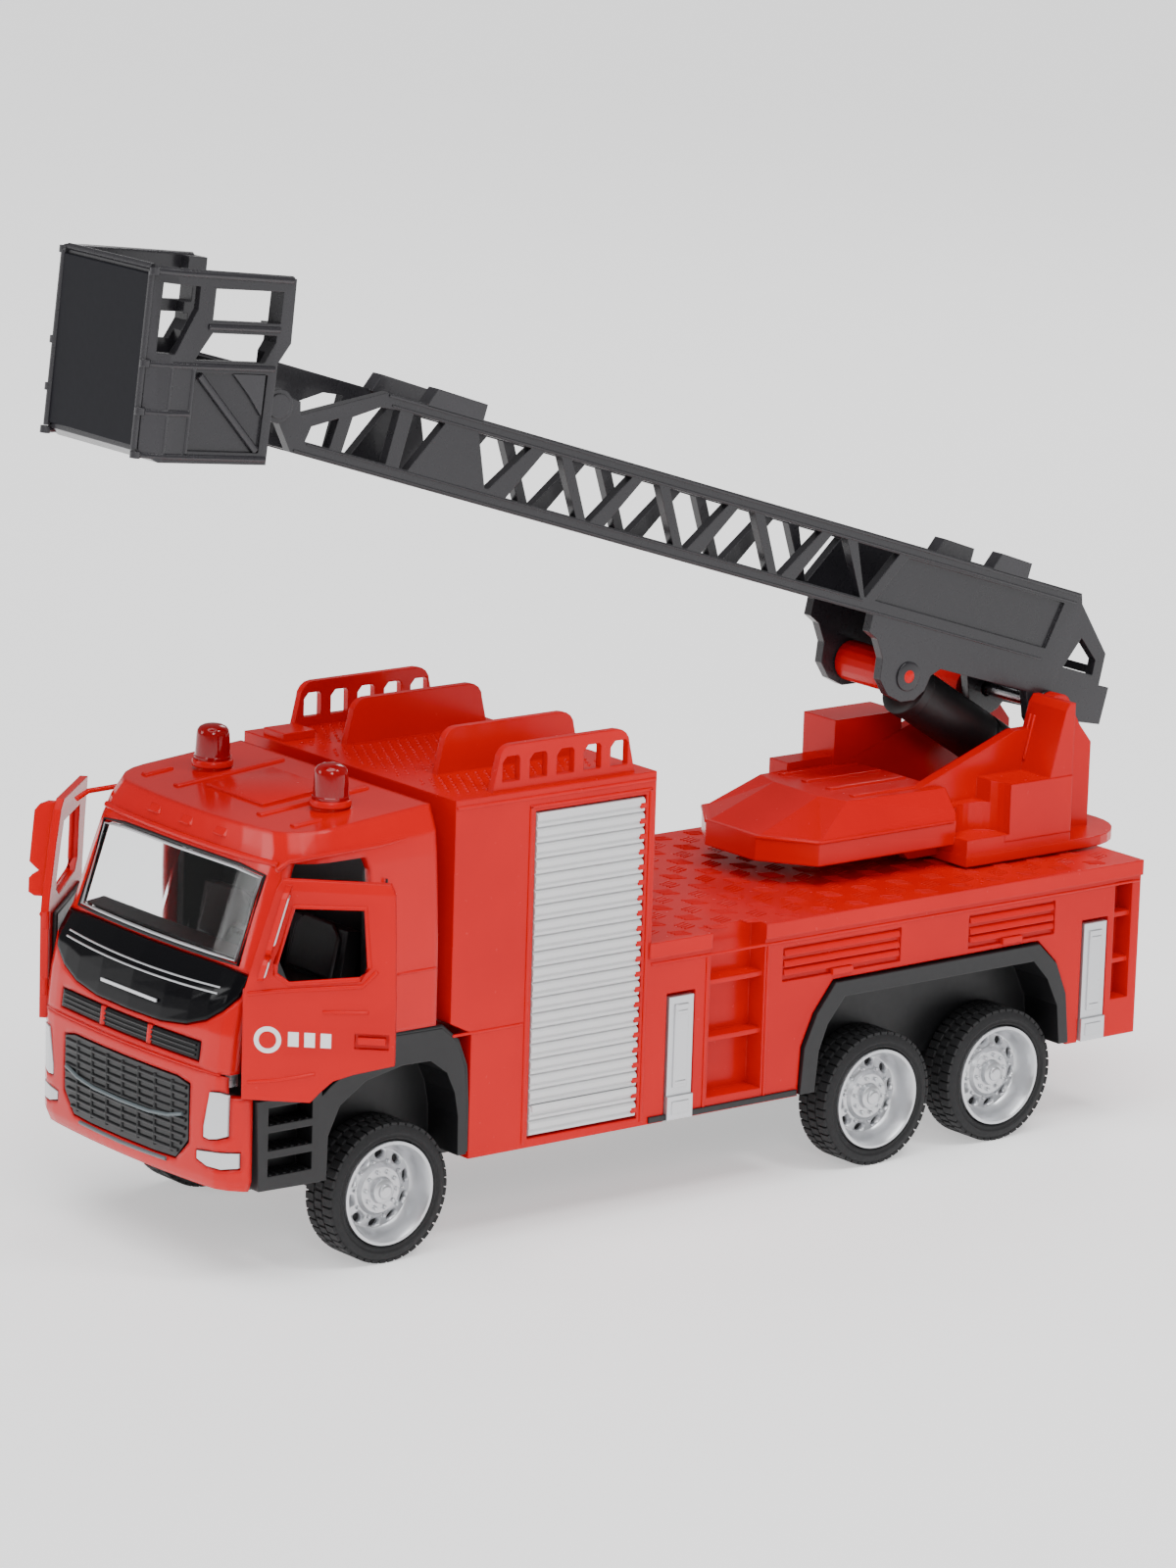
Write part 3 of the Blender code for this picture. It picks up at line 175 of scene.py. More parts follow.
class Kit:
    """Collects closed little solids, in one body's own millimetres, into one object."""

    def __init__(self, name, matrix, body, mat):
        self.bm = bmesh.new()
        self.name, self.matrix, self.body, self.mat = name, matrix, body, mat

    def rings(self, rings, closed=False):
        loops = [[self.bm.verts.new(p) for p in ring] for ring in rings]
        count = len(loops[0])
        pairs = list(zip(loops, loops[1:])) + ([(loops[-1], loops[0])] if closed else [])
        for low, high in pairs:
            for i in range(count):
                j = (i + 1) % count
                self.bm.faces.new((low[i], low[j], high[j], high[i]))
        if not closed:
            self.bm.faces.new(loops[0])
            self.bm.faces.new(loops[-1])
        return self

    def prism(self, axis, outline, low, high):
        put = PUT[axis]
        return self.rings([[put(a, b, c) for a, b in outline] for c in (low, high)])

    def box(self, low, high):
        x0, x1 = sorted((low[0], high[0]))
        return self.prism("z", [(x0, low[1]), (x1, low[1]), (x1, high[1]), (x0, high[1])], low[2], high[2])

    def turn(self, axis, centre, profile, segments=24):
        """Profile of (along, radius); the ends are capped where they have a radius."""
        put = PUT[axis]
        angles = [2 * math.pi * i / segments for i in range(segments)]
        rings = []
        for along, radius in profile:
            radius = max(radius, 0.02)
            rings.append([tuple(o + k for o, k in zip(centre, put(
                radius * math.cos(angle), radius * math.sin(angle), along))) for angle in angles])
        return self.rings(rings)

    def tube(self, points, radius, sides=8, closed=False):
        """A round bar along points."""
        pts = [Vector(p) for p in points]
        rings = []
        for i, p in enumerate(pts):
            before = pts[i - 1] if (i or closed) else p
            after = pts[(i + 1) % len(pts)] if (i + 1 < len(pts) or closed) else p
            way = (after - before).normalized()
            side = way.cross(Vector((0.13, 0.31, 0.94))).normalized()
            up = side.cross(way)
            rings.append([p + radius * (math.cos(a) * side + math.sin(a) * up)
                          for a in (2 * math.pi * k / sides for k in range(sides))])
        return self.rings(rings, closed)

    def make(self, bevel=0.0, smooth=35, segments=2):
        bmesh.ops.recalc_face_normals(self.bm, faces=self.bm.faces)
        self.bm.transform(self.matrix)
        if self.matrix.determinant() < 0:
            bmesh.ops.reverse_faces(self.bm, faces=self.bm.faces)
        mesh = bpy.data.meshes.new(self.name)
        self.bm.to_mesh(mesh)
        self.bm.free()
        mesh.shade_smooth()
        mesh.set_sharp_from_angle(angle=math.radians(smooth))
        obj = bpy.data.objects.new(self.name, mesh)
        bpy.context.scene.collection.objects.link(obj)
        if bevel > 0:
            modifier = obj.modifiers.new("edges", 'BEVEL')
            modifier.width = bevel * MM
            modifier.segments = segments
            modifier.limit_method = 'ANGLE'
            modifier.angle_limit = math.radians(30)
        if self.mat:
            mesh.materials.append(self.mat)
        if self.body:
            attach(obj, self.body)
        return obj


def carve(obj, cutter):
    """Cut the cutter out of obj for good, and drop the cutter."""
    modifier = obj.modifiers.new("carve", 'BOOLEAN')
    modifier.object = cutter
    modifier.solver = 'EXACT'
    bpy.context.view_layer.update()
    shape = obj.evaluated_get(bpy.context.evaluated_depsgraph_get())
    mesh = bpy.data.meshes.new_from_object(shape)
    obj.modifiers.clear()
    obj.data = mesh
    bpy.data.objects.remove(cutter)


# ------------------------------------------------------------------ cab front surface, as in the CAD
# (z, y) down the middle of the front, and (z, half width) of the cab
FRONT = [(14.0, -4.6), (16.0, -5.2), (30.0, -5.2), (37.0, -4.4), (42.0, -3.3), (46.2, -0.6), (59.3, 3.9),
         (64.0, 5.9)]
WIDTH = [(14.0, 25.6), (16.0, 26.2), (46.0, 26.2), (58.0, 25.6), (62.0, 25.0), (64.6, 23.4)]


def read(table, value):
    """Straight-line reading of a table of (position, value)."""
    for (a0, b0), (a1, b1) in zip(table, table[1:]):
        if value <= a1:
            return b0 + max(0.0, (value - a0) / (a1 - a0)) * (b1 - b0)
    return table[-1][1]


def front_y(x, z):
    """The front's y: a slight crown, then a round corner."""
    straight = read(WIDTH, z) - 7.0
    y = read(FRONT, z) + 0.9 * min(abs(x) / straight, 1.0) ** 2
    if abs(x) > straight:
        over = min(abs(x) - straight, 7.0)
        y += 7.0 - math.sqrt(49.0 - over ** 2)
    return y


def on_front(points, out=0.1):
    """Points (x, z) laid on the front, standing out by a little."""
    return [(x, front_y(x, z) - out, z) for x, z in points]


# ------------------------------------------------------------------ finishes of the CAD pieces
LOOK = {"cab_shell": RED_SOFT, "front_bumper": RED_SOFT, "rear_body": RED, "door_left": RED,
        "door_right": RED, "turntable": RED, "lift_rod": RED, "boom": CHARCOAL, "basket": CHARCOAL,
        "turntable_retainer": BLACK, "lift_barrel": BLACK, "chassis": BLACK, "cab_interior": BLACK,
        "lower_grille": GREY, "vent_strip": GLOSS, "front_band": GLOSS, "windscreen": CLEAR}
for name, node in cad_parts.items():
    node = bpy.data.objects[name] if not hasattr(node, "data") else node
    if name in LOOK:
        mat = LOOK[name]
    elif "guard" in name or "arch" in name:
        mat = BLACK
    elif "shutter" in name:
        mat = PALE
    elif "outrigger" in name:
        mat = SILVER
    elif "light" in name:
        mat = LAMP
    elif "beacon" in name:
        mat = BEACON
    elif "tyre" in name:
        mat = RUBBER
    elif "rim" in name:
        mat = SILVER
    else:
        mat = STEEL
    node.data.materials.clear()
    node.data.materials.append(mat)


# ------------------------------------------------------------------ wheels
def wheel_meshes():
    """One tyre, rim, set of bolts and a black disc that paints shade into the rim holes, centred on the
    origin and facing +x.
    """
    tyre = Kit("tyre_master", Matrix.Scale(MM, 4), None, RUBBER)
    profile = [(-2.9, 7.95), (-3.2, 8.6), (-3.25, 9.4), (-2.9, 10.0), (-2.3, 10.22), (2.3, 10.22),
               (2.9, 10.05), (3.2, 9.6), (3.3, 8.9), (3.12, 8.75), (3.12, 8.45), (3.25, 8.3), (3.0, 7.95)]
    rings = []
    for i in range(72):
        a = 2 * math.pi * i / 72
        rings.append([(x, r * math.cos(a), r * math.sin(a)) for x, r in profile])
    tyre.rings(rings, True)
    for i in range(TREAD_BLOCKS):
        for row, (x0, x1) in enumerate(((-2.95, -1.1), (-0.8, 0.8), (1.1, 3.0))):
            a = 2 * math.pi * (i + 0.5 * (row % 2)) / TREAD_BLOCKS
            half = 0.056 if row != 1 else 0.048
            block = [(r * math.cos(a + t), r * math.sin(a + t)) for r, t in
                     ((10.0, -half), (10.49, -half), (10.49, half), (10.0, half))]
            tyre.prism("x", block, x0, x1)
    rim = Kit("rim_master", Matrix.Scale(MM, 4), None, SILVER)
    rim.turn("x", (0, 0, 0), [(-2.9, 1.4), (-2.9, 7.7), (3.3, 7.75), (3.35, 7.3), (2.9, 7.0), (1.3, 6.55),
                              (0.4, 6.3), (0.0, 5.9), (0.5, 3.9), (1.1, 3.4), (1.15, 2.0), (1.9, 1.8),
                              (2.1, 1.4), (2.15, 0.3)], 60)
    rim = rim.make(0.0, 30)
    holes = Kit("rim_holes", Matrix.Scale(MM, 4), None, SILVER)
    for i in range(RIM_SPOKES):
        a = 2 * math.pi * i / RIM_SPOKES
        c, s = math.cos(a), math.sin(a)
        oval = [(5.1 + 0.72 * math.cos(t), 1.02 * math.sin(t))
                for t in (2 * math.pi * k / 14 for k in range(14))]
        holes.prism("x", [(u * c - v * s, u * s + v * c) for u, v in oval], -1.4, 3)
    carve(rim, holes.make(0.0, 30))
    bolts = Kit("bolts_master", Matrix.Scale(MM, 4), None, SILVER)
    for i in range(RIM_SPOKES):
        a = 2 * math.pi * (i + 0.5) / RIM_SPOKES
        bolts.turn("x", (0, 2.75 * math.cos(a), 2.75 * math.sin(a)),
                   [(0.9, 0.34), (1.5, 0.32), (1.62, 0.18)], 8)
        bolts.turn("x", (0, 4.3 * math.cos(a), 4.3 * math.sin(a)),
                   [(0.2, 0.3), (0.8, 0.26), (0.88, 0.12)], 8)
    bolts.turn("x", (0, 0, 0), [(1.8, 1.2), (2.4, 1.1), (2.6, 0.8), (2.6, 0.1)], 24)
    # Painted shade: a black disc inside the rim, showing only at the floors of the holes so they read dark.
    dark = Kit("rim_dark_master", Matrix.Scale(MM, 4), None, BLACK)
    dark.turn("x", (0, 0, 0), [(-1.7, 1.4), (-1.7, 6.2), (-1.0, 6.2), (-1.0, 1.4)], 36)
    return [("tyre", tyre.make(0.08, 30)), ("rim", rim), ("bolts", bolts.make(0.05)),
            ("rim_hole_shade", dark.make())]


masters = wheel_meshes()
for axle, y in AXLE_Y.items():
    for side, hand in SIDES:
        for index, (kind, master) in enumerate(masters):
            piece = master.copy()
            piece.name = f"wheel_{kind}_{axle}_{hand}"
            bpy.context.scene.collection.objects.link(piece)
            turn = Matrix.Identity(4) if side > 0 else Matrix.Rotation(math.pi, 4, 'Z')
            piece.data = master.data.copy()
            piece.data.transform(turn @ Matrix.Rotation(0.21 * (index > 0) + y, 4, 'X'))
            piece.matrix_world = (TRUCK @ Matrix.Translation((side * WHEEL_X, y, WHEEL_Z))
                                  @ Matrix.Scale(1 / MM, 4))
            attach(piece, f"axle_{axle}")
            if kind == "tyre":
                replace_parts(piece, f"tyre_{axle}_{hand}")
            elif kind == "rim":
                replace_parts(piece, f"rim_{axle}_{hand}")
for _, master in masters:
    bpy.data.objects.remove(master)


# ------------------------------------------------------------------ beacons
for side, hand in SIDES:
    at = (side * 14.7, 20.0, 0)
    dome = Kit(f"beacon_dome_{hand}", TRUCK, "truck", BEACON).turn("z", at, [
        (66.95, 2.75), (67.6, 2.75), (67.75, 2.62), (70.9, 2.42), (71.5, 2.3), (71.95, 1.95), (72.25, 1.3),
        (72.38, 0.5)], 40).make()
    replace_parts(dome, f"beacon_{hand}")
    Kit(f"beacon_base_{hand}", TRUCK, "truck", RED).turn("z", at, [
        (66.2, 3.05), (66.9, 3.05), (67.15, 2.9), (67.2, 2.76), (66.3, 2.7)], 40).make()
    Kit(f"beacon_core_{hand}", TRUCK, "truck", BEACON).turn("z", at, [
        (67.0, 1.1), (69.2, 1.0), (70.0, 0.7), (70.2, 0.2)], 20).make()


# ------------------------------------------------------------------ deck and roof surfaces
def deck():
    plate = Kit("deck_tread", TRUCK, "truck", RED)
    cell = 3.45
    for i in range(-7, 8):
        for j in range(28):
            if (i + j) % 2:
                continue
            cx, cy = i * cell, 72.6 + cell * (j + 0.5)
            for k in range(4):
                x = cx - 1.2 + 0.8 * k
                if abs(x) + 0.8 > 25.6 or cy + 1.4 > 167.8:
                    continue
                lean = 0.45 if j % 2 else -0.45
                bar = [(x - lean - 0.17, cy - 1.35), (x - lean + 0.17, cy - 1.35),
                       (x + lean + 0.17, cy + 1.35), (x + lean - 0.17, cy + 1.35)]
                tip = [(x - lean * 0.9 - 0.07, cy - 1.2), (x - lean * 0.9 + 0.07, cy - 1.2),
                       (x + lean * 0.9 + 0.07, cy + 1.2), (x + lean * 0.9 - 0.07, cy + 1.2)]
                plate.rings([[(a, b, 41.35) for a, b in bar], [(a, b, 41.56) for a, b in tip]])
    plate.make(0.0, 20)
    dots = Kit("block_tread", TRUCK, "truck", RED)
    for i in range(-15, 16):
        for j in range(19):
            x, y = i * 1.5, 36.2 + j * 1.65 + 0.8 * (i % 2)
            if 10.3 < abs(x) < 12.1 or y > 69.0 or (x < -16 and y < 41.5):
                continue
            base = [(x - 0.42, y), (x, y - 0.42), (x + 0.42, y), (x, y + 0.42)]
            dots.rings([[(a, b, 67.35) for a, b in base],
                        [(x + (a - x) * 0.4, y + (b - y) * 0.4, 67.6) for a, b in base]])
    dots.make(0.0, 20)
    extra = Kit("block_edges", TRUCK, "truck", RED)
    extra.box((-22.5, 34.6, 67.3), (-17.2, 40.3, 68.6))
    for side in (-1, 1):
        extra.box((side * 26.05, 34.0, 65.95), (side * 26.42, 70.4, 66.5))
        extra.box((side * 26.05, 34.2, 32.3), (side * 26.38, 47.0, 32.75))
        extra.box((side * 26.05, 47.2, 14.2), (side * 26.42, 47.75, 65.0))
        extra.box((side * 26.05, 69.25, 14.2), (side * 26.42, 69.75, 65.0))
        extra.box((side * 26.05, 47.2, 64.6), (side * 26.42, 69.75, 65.1))
        extra.box((side * 26.1, 70.6, 37.9), (side * 26.4, 168.3, 38.35))
        extra.box((side * 26.1, 82.0 - 0.9, 14.5), (side * 26.4, 82.0 - 0.4, 38.0))
        extra.box((side * 26.1, 92.8, 14.5), (side * 26.4, 93.3, 38.0))
    extra.make(0.12)


def body_sides():
    for side, hand in SIDES:
        handle = Kit(f"shutter_handle_{hand}", TRUCK, "truck", PALE)
        handle.box((side * 26.1, 48.8, 18.9), (side * 26.75, 68.2, 19.9))
        handle.box((side * 26.1, 48.8, 63.2), (side * 26.4, 68.2, 63.8))
        handle.make(0.15)
        slat = Kit(f"shutter_slats_{hand}", TRUCK, "truck", PALE)
        pitch = 48.6 / SLATS
        edge = [(25.55, 15.2)]
        for i in range(SLATS):
            z = 15.2 + i * pitch
            edge += [(25.82, z + 0.02), (26.22, z + 0.22), (26.30, z + 0.62), (26.12, z + 0.82),
                     (26.12, z + 0.95), (26.34, z + 1.15), (26.34, z + pitch - 0.42),
                     (26.05, z + pitch - 0.12), (25.82, z + pitch - 0.05)]
        edge.append((25.55, 63.8))
        slat.prism("y", [(side * x, z) for x, z in edge], 48.6, 68.4)
        slat = slat.make(0.0, 25)
        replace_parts(slat, f"shutter_{hand}")
        marks = Kit(f"shutter_marks_{hand}", TRUCK, "truck", RED)
        for i in range(SLATS):
            z = 15.2 + (i + 0.45) * 2.314
            marks.box((side * 26.0, 67.6, z - 0.4), (side * 26.42, 68.7, z + 0.4))
        marks.make(0.06)
        slats = Kit(f"louvres_{hand}", TRUCK, "truck", RED)
        for y0, y1 in ((96.0, 119.3), (133.0, 150.7)):
            for z in (32.9, 34.2, 35.9):
                slats.rings([[(side * 25.6, y, z), (side * 26.35, y, z - 0.15), (side * 26.2, y, z + 0.75),
                              (side * 25.6, y, z + 1.0)] for y in (y0 + 0.3, y1 - 0.3)])
            mid = (y0 + y1) / 2
            slats.box((side * 25.6, mid - 2.0, 31.6), (side * 26.6, mid + 2.0, 32.7))
        slats.make(0.1)
        legs = Kit(f"outrigger_detail_{hand}", TRUCK, "truck", SILVER)
        for y in (76.5, 159.2):
            legs.box((side * 26.3, y - 1.3, 18.6), (side * 26.65, y + 1.3, 31.4))
            for z in (19.4, 30.2):
                legs.box((side * 26.6, y - 1.0, z - 0.25), (side * 26.75, y + 1.0, z + 0.25))
            legs.box((side * 26.7, y - 1.6, 14.6), (side * 26.95, y + 1.6, 16.6))
        legs.make(0.1)
        trim = Kit(f"sill_{hand}", TRUCK, "truck", BLACK)
        trim.box((side * 26.1, 70.9, 13.8), (side * 26.5, 99.4, 14.7))
        trim.make()
    tail = Kit("tail_details", TRUCK, "truck", RED)
    tail.box((-20, 168.5, 18.0), (20, 168.95, 36.5))
    tail.make(0.3)
    lamps = Kit("tail_lamps", TRUCK, "truck", BEACON)
    for side in (-1, 1):
        for z in (17.5, 21.0, 24.5):
            lamps.turn("y", (side * 23.3, 168.6, z), [(-0.2, 1.25), (0.35, 1.2), (0.55, 0.8)], 24)
    lamps.make()


# ------------------------------------------------------------------ cab
def cab():
    trim = Kit("cab_trim", TRUCK, "truck", RED)
    roof = lambda y: 64.6 + 2.2 * max(0.0, y - 6.0) / 25.0
    for x in (-18.6, -10.4, 10.4, 18.6):
        trim.rings([[(x - 0.8, y, roof(y) - 0.2), (x - 0.5, y, roof(y) + 0.32), (x + 0.5, y, roof(y) + 0.32),
                     (x + 0.8, y, roof(y) - 0.2)] for y in (10.5, 15.4 if abs(x) > 12 else 29.5)])
    hatch = [(-7.2, 13.5), (7.2, 13.5), (7.2, 25.5), (-7.2, 25.5)]
    inner = [(-6.4, 14.3), (6.4, 14.3), (6.4, 24.7), (-6.4, 24.7)]
    trim.rings([[(x, y, roof(y) - 0.2) for x, y in hatch], [(x, y, roof(y) + 0.35) for x, y in hatch],
                [(x, y, roof(y) + 0.65) for x, y in inner]])
    for x in (-8.2, 0.0, 8.2):
        z = 62.6
        y = front_y(x, z)
        trim.rings([[(x - 1.6, y - 0.05, z - 0.5), (x + 1.6, y - 0.05, z - 0.5), (x + 1.6, y + 0.9, z + 0.9),
                     (x - 1.6, y + 0.9, z + 0.9)],
                    [(x - 1.2, y - 0.6, z - 0.2), (x + 1.2, y - 0.6, z - 0.2), (x + 1.2, y + 0.2, z + 0.8),
                     (x - 1.2, y + 0.2, z + 0.8)]])
    for side in (-1, 1):
        trim.tube([(side * (read(WIDTH, z) + 0.05), y, z) for y, z in
                   ((3.2, 60.9), (5.2, 61.9), (21.5, 62.3), (30.6, 63.0))], 0.42)
        trim.tube([(side * 26.15, 24.0, 43.2), (side * 26.15, 30.9, 43.2)], 0.25)
    trim.tube([(x, front_y(x, 60.6) - 0.05, 60.6) for x in (-21.5, -16, -8, 0, 8, 16, 21.5)], 0.5)
    trim.tube([(x, front_y(x, 31.35) - 0.02, 31.35) for x in range(-22, 23, 4)], 0.16)
    trim.make(0.12)
    # Painted shade: thin black strips stand for the shade in the grooves on the cab sides.
    groove_shade = Kit("cab_groove_shade", TRUCK, "truck", BLACK)
    for side in (-1, 1):
        groove_shade.box((side * 25.9, 21.75, 36.0), (side * 26.24, 21.95, 57.5))
    groove_shade.make()
    screen = [(x, 46.9) for x in (-19.4, -14, -7, 0, 7, 14, 19.4)]
    top = [(x, 58.9 + 0.1 * (abs(x) < 10)) for x in (14, 7, 0, -7, -14)]
    screen += [(19.4, 58.4)] + top + [(-19.4, 58.4)]
    rim = Kit("windscreen_frame", TRUCK, "truck", SILVER)
    rim.tube(on_front(screen, 0.05), 0.24, closed=True).make()
    seal = [(x * 1.035, z + (0.5 if z > 50 else -0.5)) for x, z in screen]
    Kit("windscreen_seal", TRUCK, "truck", BLACK).tube(on_front(seal, -0.05), 0.28, closed=True).make()
    lines = Kit("front_lines", TRUCK, "truck", SILVER)
    for z in (42.1, 42.9):
        lines.tube(on_front([(x, z + 0.006 * x * x / 6) for x in range(-19, 20, 2)], 0.12), 0.16, 6)
    lines.prism("y", [(-7, 38.7), (7, 38.7), (7, 39.2), (-7, 39.2)], -4.45, -4.2)
    lines.make()
    vent = Kit("vent_bars", TRUCK, "truck", GREY)
    for x0, x1 in ((-16.6, -6.3), (-5.5, 5.5), (6.3, 16.6)):
        for z in (33.2, 33.9, 34.6):
            vent.tube(on_front([(x0, z), ((x0 + x1) / 2, z), (x1, z)], 0.05), 0.16, 6)
    vent.make()
    grille = Kit("grille_bars", TRUCK, "truck", BLACK)
    for k in range(9):
        z = 18.5 + k * 1.2
        reach = 13.0 + 2.2 * min(1.0, max(0.0, (z - 17.5) / 4))
        grille.tube(on_front([(-reach, z), (-7, z), (0, z), (7, z), (reach, z)], 0.0), 0.3, 6)
    for x in range(-12, 13, 4):
        grille.tube(on_front([(x, 18.0), (x, 28.6)], -0.02), 0.26, 6)
    grille.make()
    bars = Kit("vent_dividers", TRUCK, "truck", RED_SOFT)
    for x in (-5.9, 5.9):
        bars.tube(on_front([(x, 32.5), (x, 35.2)], -0.25), 0.6, 8)
    bars.make()
    grey = Kit("grille_lines", TRUCK, "truck", LINE)
    smile = [(-14.8, 24.2), (-11.5, 23.3), (-7, 22.8), (0, 22.7), (7, 22.8), (11.5, 23.3), (14.8, 24.2)]
    grey.tube(on_front(smile, 0.3), 0.3, 8)
    grey.tube(on_front([(-11, 16.6), (-6, 16.5), (0, 16.4), (6, 16.5), (11, 16.6)], 0.1), 0.3, 8)
    grey.make()
    for side in (-1, 1):
        hand = "left" if side > 0 else "right"
        step = Kit(f"step_treads_{hand}", TRUCK, "truck", BLACK)
        for z in (16.6, 20.4, 24.1):
            for k in range(6):
                y = 2.3 + k * 1.25
                step.box((side * 22.6, y, z - 0.05), (side * 26.0, y + 0.5, z + 0.16))
        step.tube([(side * 25.9, y, z) for y, z in ((9.2, 27.6), (12.6, 29.2), (16.4, 31.2), (20.0, 33.2),
                                                     (24.0, 34.3), (32.4, 34.2), (35.3, 31.7), (36.9, 27.6),
                                                     (37.3, 21.6), (37.3, 14.8))], 0.34)
        step.make()
    seats = Kit("seat_pads", TRUCK, "truck", BLACK)
    for x in (-11.0, 11.0):
        seats.box((x - 5.6, 13.6, 39.4), (x + 5.6, 19.8, 40.3))
        seats.rings([[(x - w, y, z), (x + w, y, z), (x + w, y - 0.9, z + 0.2), (x - w, y - 0.9, z + 0.2)]
                     for w, y, z in ((5.4, 20.0, 40.6), (5.4, 21.5, 46.6), (3.4, 21.9, 48.4))])
    seats.make(0.4)


# ------------------------------------------------------------------ doors
def doors():
    for side, hand in SIDES:
        m = door_frame(side)
        body = f"door_{hand}"
        face = lambda z, out=0.0: side * (read(WIDTH, z) + out)
        white = Kit(f"door_marks_{hand}", m, body, WHITE)
        white.turn("x", (face(37.5, 0.02), 1.4, 37.5), [(-0.1, 1.95), (0.06, 1.95)], 32)
        for y in (4.3, 6.6, 8.9):
            white.box((face(37, -0.1), y, 36.7), (face(37, 0.08), y + 1.5, 38.8))
        white.make()
        inner = Kit(f"door_mark_centre_{hand}", m, body, RED)
        inner.turn("x", (face(37.5, 0.05), 1.4, 37.5), [(-0.1, 1.25), (0.08, 1.25)], 28)
        inner.make()
        detail = Kit(f"door_detail_{hand}", m, body, RED)
        detail.tube([(face(31), -1.4, 31.2), (face(31), 3.0, 31.7), (face(33), 8.2, 32.9)], 0.26)
        detail.tube([(face(42), 9.1, 41.9), (face(42), 15.6, 42.2)], 0.3)
        detail.tube([(face(45.0), -1.6, 44.0), (face(46.0), 2.0, 44.6), (face(46.0), 14.6, 45.9),
                     (face(48), 16.7, 48.2)], 0.36)
        detail.box((face(37.9, -0.4), 14.1, 37.5), (face(37.9, 0.25), 18.1, 38.5))
        detail.make(0.12)
        seal = [(4.7, 56.8), (14.8, 57.0), (15.6, 48.6), (14.3, 46.9), (4.3, 45.7), (2.3, 47.0),
                (2.3, 48.5)]
        lip = Kit(f"door_seal_{hand}", m, body, RED)
        lip.tube([(face(z, -0.1), y, z) for y, z in seal], 0.4, 8, True).make()
        card = Kit(f"door_card_{hand}", m, body, BLACK)
        card.prism("x", [(0.0, 30.2), (6.8, 30.2), (12.6, 34.6), (17.9, 35.6), (17.9, 44.6), (0.4, 43.9)],
                   *sorted((side * 24.2, side * 25.1)))
        card.box((side * 23.2, 4.6, 39.4), (side * 24.4, 13.6, 41.2))
        card.make(0.3)
        mirror = Kit(f"mirror_glass_{hand}", m, body, SILVER)
        for z0, z1 in ((51.6, 58.6), (47.0, 49.3)):
            mirror.rings([[(side * (read(WIDTH, z) + o), -0.2 + (z - 46) * 0.27 + 0.88, z) for o, z in
                           ((0.35, z0), (2.4, z0), (2.4, z1), (0.35, z1))],
                          [(side * (read(WIDTH, z) + o), -0.2 + (z - 46) * 0.27 + 1.08, z) for o, z in
                           ((0.45, z0 + 0.15), (2.3, z0 + 0.15), (2.3, z1 - 0.15), (0.45, z1 - 0.15))]])
        mirror.make()
        pins = Kit(f"door_hinges_{hand}", m, body, RED)
        for z in (32.0, 42.0):
            pins.turn("z", (side * DOOR_HINGE[0], DOOR_HINGE[1], 0), [(z, 0.62), (z + 2.6, 0.62)], 16)
        pins.make(0.1)


# ------------------------------------------------------------------ boom, turntable and strut
def boom():
    rungs = Kit("boom_rungs", BOOM, "boom", CHARCOAL)
    for k in range(17):
        along = 46.5 + 6.5 * k
        rungs.tube([(-6.5, along, 7.2), (6.5, along, 7.2)], 0.55)
    rungs.make()
    rails = Kit("boom_rails", BOOM, "boom", CHARCOAL)
    rivets = Kit("boom_rivets", BOOM, "boom", CHARCOAL)
    for side in (-1, 1):
        end = 142 if side > 0 else 152
        rails.box((side * 7.7, -0.6, 17.7), (side * 8.0, end, 18.15))
        rails.box((side * 7.7, -0.2, 16.45), (side * 7.95, end - 1, 16.8))
        rails.box((side * 7.7, 4.0, 6.5), (side * 7.95, 156.0, 6.85))
        rails.box((side * 7.7, 43.5, 7.85), (side * 7.95, 154.0, 8.15))
        for along, above in ((0, 0), STRUT_EAR):
            rivets.turn("x", (side * 7.8, along, above),
                        [(0.0, 2.3), (side * 0.25, 2.3), (side * 0.35, 1.9)], 24)
        rivets.turn("x", (side * 7.8, *BASKET_HINGE), [(-side * 0.2, 1.7), (side * 0.12, 1.7)], 20)
    rails.make(0.06)
    rivets.make(0.06)
    drum = Kit("barrel_skin", BARREL, "lift_barrel", BLACK)
    drum.turn("y", (0, 0, 0), [(-3.4, 2.0), (-3.4, 3.4), (-2.6, 4.22), (3.0, 4.25), (3.1, 4.05), (4.0, 4.05),
                               (4.1, 4.25), (20.0, 4.25), (20.1, 4.5), (21.9, 4.5), (22.1, 4.1),
                               (22.1, 3.0)], 40)
    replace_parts(drum.make(), "lift_barrel")
    caps = Kit("strut_caps", BOOM, "lift_rod", RED)
    for side in (-1, 1):
        caps.turn("x", (0, *STRUT_EAR), [(side * 7.5, 1.15), (side * 8.1, 1.1), (side * 8.3, 0.7)], 20)
    caps.make()


def turntable():
    extra = Kit("turntable_details", TRUCK, "turntable", RED)
    for side in (-1, 1):
        extra.tube([(side * 14.15, 112.6, 48.6), (side * 14.15, 139.6, 48.6)], 0.3)
        extra.tube([(side * 6.0, 106.75, 48.6), (side * 14.15, 112.6, 48.6)], 0.3)
        for x in (9.6, 10.5):
            extra.tube([(side * x, 157.0, 55.6), (side * x, 158.9, 62.6)], 0.28)
    for x in (-8.5, -2.9, 2.9, 8.5):
        extra.rings([[(x - 0.9, y, z - 0.2), (x + 0.9, y, z - 0.2), (x + 0.6, y, z + 0.3),
                      (x - 0.6, y, z + 0.3)]
                     for y, z in ((123.5, 53.4), (138.8, 53.4))])
    extra.make(0.12)
    pivot = Kit("boom_pivot_caps", TRUCK, "turntable", BLACK)
    for side in (-1, 1):
        pivot.turn("x", (0, *BOOM_PIVOT), [(side * 10.85, 1.3), (side * 11.2, 1.3), (side * 11.4, 0.8)], 20)
    pivot.make()


